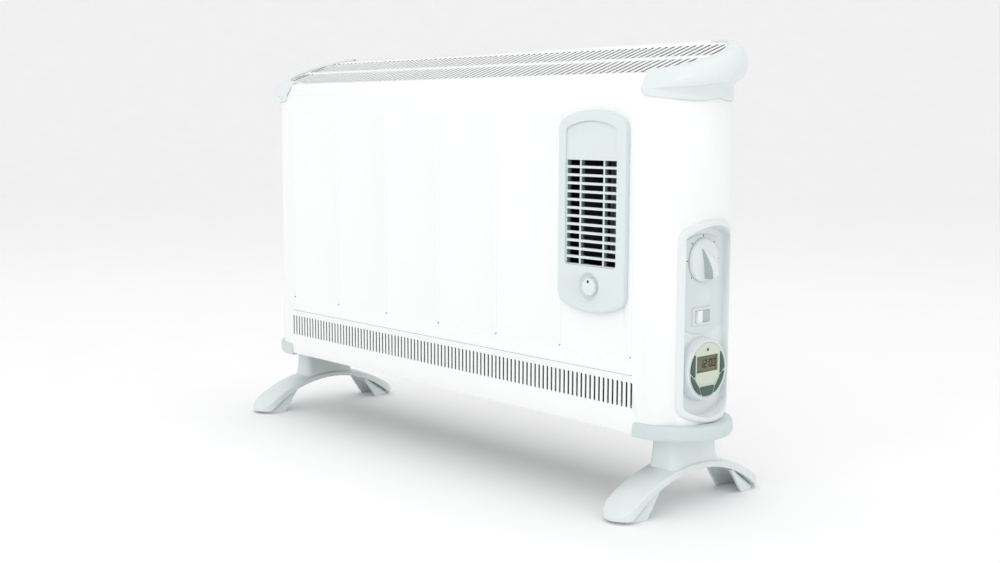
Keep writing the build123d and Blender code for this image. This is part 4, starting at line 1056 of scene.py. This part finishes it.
@dataclass
class Foot(Part):
    """An arched foot: a crowned tongue across the heater, a post under the trim and two pads."""

    side: Side
    middle: float = taken(lambda: middle_of("foot_right")[0])
    half_length: float = 100.3 * MM
    half_width: float = 18.0 * MM
    arch: float = 35.0 * MM
    arch_radius: float = 138.6 * MM
    skin: float = 5.8 * MM
    crown_radius: float = 160.0 * MM
    tip: float = 3.0 * MM
    post_half: tuple[float, float] = (13.5 * MM, 31.5 * MM)
    post_corner: float = 6.0 * MM
    pad_reach: float = 93 * MM
    pad_heel: float = 68 * MM
    pad_half: float = 16 * MM
    pad_wall: float = 2.8 * MM
    pad_levels: tuple[tuple[float, float], ...] = (
        (0, 0.5), (0.4, 0.1), (2, 0), (4, 0), (7, 0), (10, 0),
        (13, 0), (16, 0), (19, 0), (22, 0), (24.5, 0))
    post_top: float = taken(lambda: high_of("foot_right")[2])

    def build(self) -> list[bpy.types.Object]:
        """Loft the tongue, post and pads as one moulding."""
        body = Body()
        body.loft(self._tongue())
        body.loft(self._post())
        for way in (-1, 1):
            body.loft(self._pad(way))
        if self.side is Side.LEFT:
            body = body.mirrored()
        piece = body.build(f"foot_{self.side.word}.moulding", smooth=38.0)
        return [dress(piece, FOOT_PLASTIC, "heater", "foot_plastic", f"foot_{self.side.word}")]

    def _under(self, along: np.ndarray) -> np.ndarray:
        """Return the height of the arch's underside."""
        circle = self.arch - self.arch_radius + np.sqrt(self.arch_radius**2 - along**2)
        return np.maximum(circle, self.tip)

    def _over(self, along: np.ndarray) -> np.ndarray:
        """Return the height of the tongue's top edge."""
        crown = self.arch + self.skin - self.crown_radius
        return crown + np.sqrt(self.crown_radius**2 - along**2)

    def _tongue(self) -> list[Ring]:
        """Return the tongue's sections from one tip to the other."""
        straight = self.half_length - self.half_width
        ends = straight + self.half_width * np.sin(np.linspace(0, 0.5 * math.pi, 22))
        walk = np.concatenate([-ends[::-1], np.linspace(-straight, straight, 60)[1:-1], ends])
        rings = []
        for along in walk:
            out = max(abs(along) - straight, 0.0)
            half = math.sqrt(max(self.half_width**2 - out**2, (0.15 * MM) ** 2))
            low, high = float(self._under(np.array(along))), float(self._over(np.array(along)))
            thick = high - low
            edge = min(2.2 * MM, 0.45 * thick, 0.8 * half)
            swell = 1.6 * MM * half / self.half_width
            arc = np.linspace(0, math.pi / 2, 7)
            side = [(half - edge * (1 - math.cos(a)), high - edge * (1 - math.sin(a))) for a in arc]
            across = np.linspace(side[-1][0], 0.0, 8)[1:]
            reach = max(side[-1][0], 1e-6)
            crown = [(x, side[-1][1] + swell * (1 - (x / reach) ** 2)) for x in across]
            lip = min(0.5 * MM, 0.3 * half)
            right = [(half - lip, low), (half, low + lip), (half, low + 0.55 * (thick - edge)),
                     *side, *crown]
            loop = [*right, *[(-x, z) for x, z in right[-2::-1]]]
            rings.append(np.array([(self.middle + x, along, z) for x, z in loop]))
        return rings

    def _post(self) -> list[Ring]:
        """Return the post's sections, flared where it meets the tongue."""
        rings = []
        low = self.arch + 1.2 * MM
        for share in np.linspace(0, 1, 14):
            height = low + (self.post_top - 0.1 * MM - low) * share
            flare = 2.6 * MM * (1 - share) ** 3 + 0.5 * MM * (1 - share)
            rings.append(self._rounded(self.post_half[0] + flare, self.post_half[1] + flare,
                                       self.post_corner + flare, height))
        return rings

    def _rounded(self, half_x: float, half_y: float, corner: float, height: float) -> Ring:
        """Return a rounded rectangle about the foot's middle at one height."""
        points = []
        for quarter, (way_x, way_y) in enumerate(((1, 1), (-1, 1), (-1, -1), (1, -1))):
            for turn in np.linspace(0, math.pi / 2, 9) + quarter * math.pi / 2:
                points.append((self.middle + way_x * (half_x - corner) + corner * math.cos(turn),
                               way_y * (half_y - corner) + corner * math.sin(turn), height))
        return np.array(points)

    def _pad(self, way: int) -> list[Ring]:
        """Return one pad's sections, from the floor up into the tongue."""
        return [self._skirt(way, height * MM, inset * MM) for height, inset in self.pad_levels]

    def _skirt(self, way: int, height: float, inset: float) -> Ring:
        """Return a U-shaped ring, open towards the arch and round at the tip."""
        leg = math.sqrt(self.arch_radius**2 - (height + self.arch_radius - self.arch) ** 2)
        outer = min(self.pad_reach + height / 2, leg + 3.0 * MM)
        heel = self.pad_heel - 0.7 * height + inset
        half = self.pad_half - inset
        wall = self.pad_wall - 2 * inset
        bow = min(half, outer - heel - 3 * MM)
        turns = np.linspace(-math.pi / 2, math.pi / 2, 25)
        path = [(half * math.sin(a), outer - inset - bow * (1 - math.cos(a))) for a in turns]
        inner = [((half - wall) * math.sin(a), outer - inset - wall - (bow - wall) * (1 - math.cos(a)))
                 for a in turns[::-1]]
        outline = [(-half, heel), *path, (half, heel), (half - wall, heel), *inner, (wall - half, heel)]
        return np.array([(self.middle + x, way * y, height) for x, y in outline])


@dataclass
class FanGrille(Part):
    """The fan's bezel on the front, with its barred mouth and the fan's knob in a dish."""

    middle: float = taken(lambda: middle_of("fan_bezel")[0])
    level: float = taken(lambda: middle_of("fan_bezel")[2])
    front: float = taken(lambda: high_of("fan_bezel")[1])
    proud: float = 7.0 * MM
    half: float = 42 * MM
    half_height: float = 92.75 * MM
    bow: float = 10 * MM
    corner: float = 12 * MM
    mouth_half: float = 32 * MM
    mouth_below: float = 49.55 * MM
    mouth_above: float = 82.75 * MM
    mouth_bow: float = 7 * MM
    mouth_corner: float = 3 * MM
    edge: float = 3.2 * MM
    knob_z: float = taken(lambda: middle_of("fan_knob")[2])
    dish: float = 12.9 * MM

    def build(self) -> list[bpy.types.Object]:
        """Make the bezel, louvre, knob and the knob's dot."""
        return [self._bezel(), *self._louvre(), *self._knob()]

    def _outer(self) -> ArchedOutline:
        """Return the bezel's outline."""
        return ArchedOutline(self.middle, self.half, self.level - self.half_height,
                             self.level + self.half_height, self.bow, self.bow, self.corner)

    def _mouth(self) -> ArchedOutline:
        """Return the mouth's outline."""
        return ArchedOutline(self.middle, self.mouth_half, self.level - self.mouth_below,
                             self.level + self.mouth_above, self.mouth_bow, 0.0, self.mouth_corner)

    def _bezel(self) -> bpy.types.Object:
        """Make the bezel from rings, with a flat face that has two openings."""
        count = 220
        face = self.front - self.proud
        outer, mouth = self._outer(), self._mouth()
        body = Body()
        skirt = [on_front(outer.points(count), self.front)]
        for turn in np.linspace(0, math.pi / 2, 8):
            inset = self.edge * (1 - math.cos(turn))
            depth = face + self.edge * (1 - math.sin(turn)) * 0.9
            skirt.append(on_front(outer.inset(inset).points(count), depth))
        body.loft(skirt, caps=False)
        lip = 1.0 * MM
        throat = []
        for turn in np.linspace(0, math.pi / 2, 6):
            inset = -lip * (1 - math.sin(turn))
            throat.append(on_front(mouth.inset(inset).points(count), face + lip * (1 - math.cos(turn))))
        throat.append(on_front(mouth.points(count), self.front + 0.6 * MM))
        body.loft(throat, caps=False)
        centre = np.array([self.middle, self.knob_z])
        rim = self.dish
        profile = [(rim + 1.4 * MM, 0.0), (rim + 0.9 * MM, -0.45 * MM), (rim + 0.3 * MM, -0.5 * MM),
                   (rim, -0.2 * MM), (rim - 0.5 * MM, 0.9 * MM), (rim - 1.0 * MM, 2.2 * MM),
                   (rim - 1.9 * MM, 2.8 * MM), (rim - 3.2 * MM, 3.0 * MM), (3.2 * MM, 3.0 * MM),
                   (3.2 * MM, 5.0 * MM)]
        dish = [(radius, face + depth) for radius, depth in profile]
        body.loft(turned(dish, centre, 96, on_front), caps=False)
        loops = [outer.inset(self.edge).points(count), mouth.inset(-lip).points(count),
                 disc(rim + 1.4 * MM, 96) + centre]
        body.plate(loops, lambda flat: on_front(flat, face))
        body.plate([outer.points(count), mouth.points(count), disc(3.2 * MM, 48) + centre],
                   lambda flat: on_front(flat, self.front + 0.05 * MM))
        piece = body.build("fan_grille_bezel", smooth=50.0)
        return dress(piece, BEZEL_PLASTIC, "heater", "bezel_plastic", "fan_bezel")

    def _louvre(self) -> list[bpy.types.Object]:
        """Dress the barred insert, with painted shade on the webs set back behind the bars."""
        pieces = Dressed(BEZEL_PLASTIC, "bezel_plastic", ("fan_louvre",), rounding=0.35 * MM).build()
        behind = at_rest("fan_louvre")[0].y + 1.2 * MM
        # Painted shade: faces set back behind the bars take the darker finish.
        refinish(pieces[0], WEB_SHADE_PLASTIC, lambda face: face.center.y > behind and abs(face.normal.z) < 0.6)
        return pieces

    def _knob(self) -> list[bpy.types.Object]:
        """Make the round knob with a domed face and a dot near its top."""
        low, high = at_rest("fan_knob")
        radius = 8.2 * MM
        centre = np.array([self.middle, self.knob_z])
        tip = low.y
        profile = [(3.0 * MM, high.y), (3.0 * MM, tip + 4.0 * MM), (radius, tip + 4.0 * MM),
                   (radius, tip + 1.3 * MM), (radius - 0.3 * MM, tip + 0.6 * MM),
                   (radius - 0.9 * MM, tip + 0.15 * MM), (radius - 1.8 * MM, tip),
                   (radius - 4 * MM, tip + 0.15 * MM), (0.6 * MM, tip + 0.3 * MM)]
        knob = Body().loft(turned(profile, centre, 80, on_front)).build("fan_knob.disc", smooth=40.0)
        dress(knob, KNOB_PLASTIC, "fan_knob", "knob_plastic", "fan_knob")
        spot = centre + (0, radius - 3.2 * MM)
        profile = [(1.25 * MM, tip + 0.5 * MM), (1.25 * MM, tip - 0.12 * MM), (0.9 * MM, tip - 0.2 * MM)]
        dot = Body().loft(turned(profile, spot, 32, on_front)).build("fan_knob.dot", smooth=40.0)
        dress(dot, INK, "fan_knob", "black_plastic")
        return [knob, dot]


@dataclass
class ControlPanel(Part):
    """The frame on the +X end with its recess, plate, thermostat knob and rocker."""

    housing: Housing = field(default_factory=Housing)
    half: float = 35.5 * MM
    half_height: float = 91.35 * MM
    bow: float = 10 * MM
    corner: float = 12 * MM
    level: float = taken(lambda: middle_of("control_frame")[2])
    floor: float = taken(lambda: low_of("control_plate")[0])
    well: float = 5.0 * MM

    def build(self) -> list[bpy.types.Object]:
        """Make the frame, plate, knob and rocker."""
        return [self._frame(), *self._plate(), *self._knob(), *self._rocker()]

    def _frame(self) -> bpy.types.Object:
        """Loft the frame over the casing's curve and down to the recess floor."""
        outline = ArchedOutline(self.housing.middle, self.half, self.level - self.half_height,
                                self.level + self.half_height, self.bow, self.bow, self.corner)
        skin = self.housing.outline()
        rings = []
        for inset, rise in ((0.0, -0.6), (0.0, 0.6), (0.15, 1.6), (0.6, 2.45), (1.3, 2.9), (2.1, 3.0),
                            (3.6, 3.0), (4.3, 2.85), (4.75, 2.45), (5.0, 1.8)):
            flat = outline.inset(inset * MM).points(260)
            rings.append(on_end(flat, skin.skin(flat[:, 0]) + rise * MM))
        flat = outline.inset(self.well).points(260)
        rings.append(on_end(flat, skin.skin(flat[:, 0]) - 1 * MM))
        rings.append(on_end(flat, self.floor + 0.8 * MM))
        flat = outline.inset(self.well + 0.25 * MM).points(260)
        rings.append(on_end(flat, self.floor + 0.25 * MM))
        flat = outline.inset(self.well + 0.8 * MM).points(260)
        rings.append(on_end(flat, self.floor))
        body = Body().loft(rings, caps=False)
        body.plate([flat], lambda spots: on_end(spots, self.floor))
        piece = body.build("control_panel_frame", smooth=42.0)
        return dress(piece, FRAME_PLASTIC, "heater", "frame_plastic", "control_frame")

    def _plate(self) -> list[bpy.types.Object]:
        """Dress the plate behind the thermostat knob and the rocker."""
        plates = Dressed(PANEL_PLASTIC, "panel_plastic", ("control_plate",), rounding=0.35 * MM).build()
        tick = Body()
        low, _ = at_rest("thermostat_knob")
        face = at_rest("control_plate")[1].x
        centre = (self.housing.middle, (low.z + at_rest("thermostat_knob")[1].z) / 2)
        for turn in np.radians(np.linspace(-135, 135, 7)):
            spot = np.array([-math.sin(turn), math.cos(turn)])
            side = np.array([spot[1], -spot[0]])
            near, far = 20.8 * MM, 22.6 * MM
            corners = [centre + spot * near - side * 0.35 * MM, centre + spot * near + side * 0.35 * MM,
                       centre + spot * far + side * 0.35 * MM, centre + spot * far - side * 0.35 * MM]
            flat = np.array(corners)
            tick.loft([on_end(flat, face - 0.1 * MM), on_end(flat, face + 0.12 * MM)])
        marks = tick.build("thermostat_ticks", smooth=30.0)
        return [*plates, dress(marks, INK, "heater", "black_plastic")]

    def _knob(self) -> list[bpy.types.Object]:
        """Raise the knob's skirt, dome and wedge-shaped grip as one height field."""
        low, high = at_rest("thermostat_knob")
        radius = (high.y - low.y) / 2
        centre = np.array([(high.y + low.y) / 2, (high.z + low.z) / 2])
        base = at_rest("control_plate")[1].x + 0.4 * MM
        tall = high.x - base
        underside = [(3.0 * MM, base), (radius - 0.6 * MM, base), (radius, base + 0.5 * MM)]
        rings = turned(underside, centre, 180, on_end)
        spread = radius * np.sin(np.linspace(math.pi / 2, 0.0, 70)[1:-1])
        spread = np.concatenate([np.full(1, radius), spread, [0.12 * MM]])
        for reach in spread:
            flat = disc(reach, 180)
            height = self._grip(flat, radius, tall)
            rings.append(on_end(flat + centre, base + height))
        knob = Body().loft(rings).build("thermostat_knob.grip", smooth=60.0)
        dress(knob, KNOB_PLASTIC, "thermostat_knob", "knob_plastic", "thermostat_knob")

        def on_flank(face: bpy.types.MeshPolygon) -> bool:
            """Return whether a face is on the grip's steep side."""
            spot = Vector((face.center.y - centre[0], face.center.z - centre[1]))
            return face.normal.x < 0.72 and face.normal.y < -0.2 and spot.length < 0.86 * radius

        # Painted shade: the grip's steep flank takes the darker finish.
        refinish(knob, FLANK_SHADE_PLASTIC, on_flank)
        return [knob]

    @staticmethod
    def _grip(flat: np.ndarray, radius: float, tall: float) -> np.ndarray:
        """Return the knob's height over each spot.

        Args:
            flat: spots about the knob's middle.
            radius: the knob's radius.
            tall: height of the grip's highest part.

        Returns:
            The heights.
        """
        reach = np.linalg.norm(flat, axis=1) / radius
        shoulder = np.sqrt(np.clip(1 - np.clip((reach - 0.88) / 0.12, 0, 1) ** 2, 0, 1))
        dome = 0.17 * tall * shoulder + 0.26 * tall * (1 - reach**2)
        lean = math.radians(-70.0)
        along = (flat[:, 0] * math.cos(lean) + flat[:, 1] * math.sin(lean)) / radius
        across = (-flat[:, 0] * math.sin(lean) + flat[:, 1] * math.cos(lean)) / radius
        rise = eased((along + 1.0) / 1.5)
        steep = eased((across + 0.20 + 0.16 * rise) / 0.10)
        gentle = eased((0.22 + 0.36 * rise - across) / 0.46)
        hold = eased((0.99 - reach) / 0.20)
        return np.minimum(dome + 0.60 * tall * rise * steep * gentle * hold, tall)

    def _rocker(self) -> list[bpy.types.Object]:
        """Dress the rocker and the switch that it sits in, with painted shade on the rocker's rear half.
        """
        rocker = Dressed(ROCKER_PLASTIC, "rocker_plastic", ("heat_rocker",), "heat_rocker", 0.4 * MM)
        body = Dressed(PANEL_PLASTIC, "panel_plastic", ("rocker_switch_body",), rounding=0.3 * MM)
        pieces = rocker.build()
        pivot = self.housing.middle + 0.2 * MM
        # Painted shade: the half beyond the pivot, towards the rear, takes the darker grey.
        refinish(pieces[0], ROCKER_SHADED_HALF, lambda face: face.center.y > pivot)
        return [*pieces, *body.build()]


@dataclass
class Timer(Part):
    """The round timer: tapering ring, dial face, display, and five curved keys."""

    middle: np.ndarray = field(default_factory=lambda: middle_of("timer_ring")[1:])
    seat: float = taken(lambda: low_of("timer_ring")[0])
    ring: float = 29.8 * MM
    face: float = 24.9 * MM
    smile: float = 33.0 * MM
    lift: float = 21.7 * MM
    keys: tuple[str, ...] = ("up_left", "low_left", "bottom", "low_right", "up_right")
    lamp_lift: float = 18.6 * MM
    digit: tuple[float, float] = (3.9 * MM, 7.2 * MM)
    bar: float = 0.85 * MM
    digits_shift: float = 2.2 * MM
    digit_places: tuple[float, ...] = (-9.0 * MM, -3.9 * MM, 3.4 * MM, 8.5 * MM)
    colon_lift: float = 1.3 * MM
    panel_edge: tuple[tuple[float, float], ...] = (
        (17.2, 15.4), (17.15, 3.0), (16.9, -7.9), (11.0, -15.4), (8.4, -21.8))

    def build(self) -> list[bpy.types.Object]:
        """Make the ring, face, display, digits, keys and their outlines."""
        pieces = [self._ring()]
        pieces += Dressed(DIAL_PLASTIC, "dial_plastic", ("timer_face",), rounding=0.3 * MM).build()
        pieces += Dressed(DISPLAY, "display_glass", ("timer_display",), rounding=0.25 * MM).build()
        pieces += [self._digits(), self._dot(), *self._lines()]
        for name in self.keys:
            pieces += self._key(name)
        return pieces

    def _ring(self) -> bpy.types.Object:
        """Make the tapering ring with a groove at its base."""
        top = at_rest("timer_ring")[1].x
        ring, face = self.ring, self.face
        profile = [(face, self.seat + 4 * MM), (face, top - 0.9 * MM), (face + 0.25 * MM, top - 0.25 * MM),
                   (face + 0.8 * MM, top), (face + 1.3 * MM, top), (face + 2.0 * MM, top - 0.25 * MM),
                   (face + 2.5 * MM, top - 0.9 * MM), (ring - 1.0 * MM, self.seat + 2.6 * MM),
                   (ring - 0.7 * MM, self.seat + 2.0 * MM), (ring - 1.1 * MM, self.seat + 1.7 * MM),
                   (ring - 1.1 * MM, self.seat + 1.2 * MM), (ring - 0.2 * MM, self.seat + 1.0 * MM),
                   (ring, self.seat + 0.7 * MM), (ring, self.seat)]
        rings = turned(profile, self.middle, 160, on_end)
        piece = Body().loft(rings, caps=False, loop=True).build("timer_ring.turned", smooth=35.0)
        return dress(piece, RING_PLASTIC, "heater", "ring_plastic", "timer_ring")

    def _key(self, name: str) -> list[bpy.types.Object]:
        """Dress one key."""
        node = f"timer_key_{name}"
        return Dressed(KEY_TOP, "key_plastic", (node,), node, 0.25 * MM).build()

    def _ribbon(self, name: str, path: np.ndarray, wide: float) -> bpy.types.Object:
        """Print a thin light line on the dial.

        Args:
            name: the piece's name.
            path: Y and Z along the line's middle, about the dial's middle.
            wide: the line's width.

        Returns:
            The line.
        """
        face = at_rest("timer_face")[1].x
        step = np.gradient(path, axis=0)
        side = np.column_stack([step[:, 1], -step[:, 0]])
        side *= wide / 2 / np.linalg.norm(side, axis=1)[:, None]
        edges = [path + side, path - side]
        rings = [on_end(edge + self.middle, face + lift) for edge, lift in
                 ((edges[0], -0.1 * MM), (edges[0], 0.15 * MM),
                  (edges[1], 0.15 * MM), (edges[1], -0.1 * MM))]
        body = Body().loft([np.array(section) for section in zip(*rings)])
        return dress(body.build(name, smooth=30.0), KEY_LINE, "heater", "dial_plastic")

    def _box(self, body: "Body", low: tuple[float, float], high: tuple[float, float], base: float) -> None:
        """Add one flat printed bar to a body."""
        flat = np.array([(low[0], low[1]), (high[0], low[1]), (high[0], high[1]), (low[0], high[1])])
        body.loft([on_end(flat, base - 0.05 * MM), on_end(flat, base + 0.08 * MM)])

    def _digits(self) -> bpy.types.Object:
        """Show four plain seven-segment digits and a colon."""
        low, high = at_rest("timer_display")
        face = high.x
        (wide, tall), bar = self.digit, self.bar
        middle_y, middle_z = (low.y + high.y) / 2 + self.digits_shift, (low.z + high.z) / 2
        shown = {"1": "bc", "2": "abged", "0": "abcdef"}
        body = Body()
        for digit, shift in zip("1200", self.digit_places):
            left, foot = middle_y + shift - wide / 2, middle_z - tall / 2
            right, head, waist = left + wide, foot + tall, foot + tall / 2
            bars = {"a": ((left, head - bar), (right, head)), "d": ((left, foot), (right, foot + bar)),
                    "g": ((left, waist - bar / 2), (right, waist + bar / 2)),
                    "b": ((right - bar, waist), (right, head)), "c": ((right - bar, foot), (right, waist)),
                    "f": ((left, waist), (left + bar, head)), "e": ((left, foot), (left + bar, waist))}
            for part in shown[digit]:
                self._box(body, *bars[part], face)
        for lift in (-self.colon_lift, self.colon_lift):
            spot = np.array([middle_y, middle_z + lift])
            self._box(body, tuple(spot - bar / 2), tuple(spot + bar / 2), face)
        return dress(body.build("timer_digits", smooth=30.0), INK, "heater", "black_plastic")

    def _dot(self) -> bpy.types.Object:
        """Make the small lamp above the display."""
        face = at_rest("timer_face")[1].x
        spot = np.array([self.middle[0], self.middle[1] + self.lamp_lift])
        profile = [(1.2 * MM, face - 0.6 * MM), (1.2 * MM, face + 0.15 * MM), (0.8 * MM, face + 0.35 * MM),
                   (0.2 * MM, face + 0.4 * MM)]
        lamp = Body().loft(turned(profile, spot, 32, on_end)).build("timer_lamp", smooth=50.0)
        return dress(lamp, INK, "heater", "black_plastic")

    def _lines(self) -> list[bpy.types.Object]:
        """Print the curve between the keys and the plain panel's sides."""
        turns = np.radians(np.linspace(-133, -47, 60))
        smile = np.column_stack([self.smile * np.cos(turns), self.lift + self.smile * np.sin(turns)])
        made = [self._ribbon("timer_smile", smile, 0.55 * MM)]
        for side in Side:
            knots = np.array(self.panel_edge) * (side.value * MM, MM)
            path = resample(knots, np.linspace(0, 1, 40))
            made.append(self._ribbon(f"timer_panel_edge_{side.word}", path, 0.5 * MM))
        return made


@dataclass
class Studio:
    """The plain floor, the soft lights and the camera."""

    place: Vector = field(default_factory=lambda: Vector((1.0453, -0.9178, 0.3507)))
    azimuth: float = 47.70
    pitch: float = 7.006
    roll: float = 0.247
    lens: float = 46.74
    sensor: float = 36.0
    sky: float = 0.98
    exposure: float = -0.12
    gamma: float = 0.86
    near: float = -9.0
    far: float = 4.0
    sweep: float = 5.0
    half_width: float = 12.0

    def build(self) -> None:
        """Set the whole studio up."""
        self._floor()
        self._world()
        self._light("key", (0.9, -2.2, 1.9), (0.0, 0.0, 0.25), 2.2, 15.0)
        self._light("end_fill", (2.6, 0.5, 1.2), (0.2, 0.0, 0.2), 1.8, 3.0)
        self._light("overhead", (-0.2, 0.1, 2.6), (0.0, 0.0, 0.2), 2.4, 5.0)
        self._camera()
        scene = bpy.context.scene
        scene.view_settings.view_transform = "Standard"
        scene.view_settings.exposure = self.exposure
        scene.view_settings.gamma = self.gamma

    def _floor(self) -> None:
        """Make a wide pale floor that curves up far behind the heater."""
        profile = [(along, 0.0) for along in np.linspace(self.near, self.far, 14)]
        profile += [(self.far + self.sweep * math.sin(a), self.sweep * (1 - math.cos(a)))
                    for a in np.linspace(0.05, math.pi / 2, 24)]
        turn = math.radians(self.azimuth)
        forward = np.array([-math.sin(turn), math.cos(turn)])
        side = np.array([math.cos(turn), math.sin(turn)])
        reaches = np.linspace(-self.half_width, self.half_width, 13)
        rings = []
        for along, height in profile:
            spots = [forward * along + side * reach for reach in reaches]
            rings.append(np.array([(*spot, height) for spot in spots]))
        floor = Body().loft(rings, closed=False, caps=False).build("studio_floor", smooth=60.0)
        floor.data.materials.append(FLOOR_PAINT.material())

    def _world(self) -> None:
        """Light everything evenly with a white sky."""
        world = bpy.data.worlds.new("studio")
        bpy.context.scene.world = world
        world.use_nodes = True
        sky = world.node_tree.nodes["Background"]
        sky.inputs["Color"].default_value = (1.0, 1.0, 1.0, 1.0)
        sky.inputs["Strength"].default_value = self.sky

    def _light(self, name: str, place: tuple, aim: tuple, size: float, power: float) -> None:
        """Add one large soft light aimed at a spot."""
        lamp = bpy.data.lights.new(name, "AREA")
        lamp.energy = power
        lamp.size = size
        rig = bpy.data.objects.new(name, lamp)
        rig.location = place
        rig.rotation_mode = "QUATERNION"
        rig.rotation_quaternion = (Vector(aim) - Vector(place)).to_track_quat("-Z", "Y")
        bpy.context.scene.collection.objects.link(rig)

    def _camera(self) -> None:
        """Stand the camera where it sees the front and the control end."""
        lens = bpy.data.cameras.new("camera")
        lens.lens = self.lens
        lens.sensor_width = self.sensor
        camera = bpy.data.objects.new("camera", lens)
        turn, down, roll = (math.radians(a) for a in (self.azimuth, self.pitch, self.roll))
        level = math.cos(down)
        ahead = Vector((-math.sin(turn) * level, math.cos(turn) * level, -math.sin(down)))
        right = Vector((math.cos(turn), math.sin(turn), 0.0))
        up = right.cross(ahead)
        level_right = math.cos(roll) * right + math.sin(roll) * up
        level_up = math.cos(roll) * up - math.sin(roll) * right
        basis = Matrix((level_right, level_up, -ahead)).transposed()
        camera.matrix_world = Matrix.Translation(self.place) @ basis.to_4x4()
        bpy.context.scene.collection.objects.link(camera)
        bpy.context.scene.camera = camera


def works() -> list[Dressed]:
    """Return the inner works and fixings, shown as the CAD made them."""
    zinc = ("base_pan", "element_bracket_left", "element_bracket_right", "front_baffle", "rear_baffle",
            "fan_partition", "fan_scroll", "fan_end_plate_low", "fan_end_plate_high", "motor_bracket")
    dark = ("cable_gland", "thermal_cutout", "thermostat_body", "fan_switch", "timer_case",
            "terminal_block")
    return [
        # Painted shade: the inner sheet parts take the darkened zinc.
        Dressed(SHADOW_STEEL, "zinc_steel", zinc),
        Dressed(SCREW_ZINC, "zinc_steel", ("foot_screws", "foot_nuts", "rear_panel_screws", "cap_screws"),
                rounding=0.2 * MM),
        Dressed(DARK_MOULDING, "black_plastic", dark),
        Dressed(SHEATH, "element_sheath", ("element_front", "element_rear")),
        Dressed(CERAMIC, "ceramic", ("ceramic_bushes",)),
        Dressed(BRONZE, "bearing_bronze", ("fan_bearings",)),
        Dressed(IMPELLER_PLASTIC, "black_plastic", ("fan_impeller",), "fan_rotor"),
        Dressed(GROUND_STEEL, "bright_steel", ("fan_shaft",), "fan_rotor"),
        Dressed(LAMINATIONS, "lamination_steel", ("motor_rotor",), "fan_rotor"),
        Dressed(LAMINATIONS, "lamination_steel", ("motor_stator",)),
        Dressed(COPPER, "winding_copper", ("motor_coil",)),
        Dressed(LAMINATE, "board_laminate", ("timer_board",)),
    ]


def main() -> None:
    """Build the heater in order, then the studio."""
    parts: list[Part] = [
        ShadedInsideSheet(ENAMEL, "casing_steel", ("front_casing",), rounding=0.3 * MM, angle=25.0),
        ShadedInsideSheet(ENAMEL, "casing_steel", ("rear_panel",), angle=25.0),
        ShadedInsideSheet(ENAMEL, "grille_steel", ("top_grille",), rounding=0.2 * MM),
        *[maker(side) for maker in (EndCap, BaseTrim, Foot) for side in Side],
        FanGrille(), ControlPanel(), Timer(), *works(),
    ]
    for part in parts:
        pieces = part.build()
        log.info("%s: %d pieces", type(part).__name__, len(pieces))
    Studio().build()


if __name__ == "__main__":
    logging.basicConfig(level=logging.INFO, format="%(name)s %(message)s")
    main()
    bpy.context.view_layer.update()
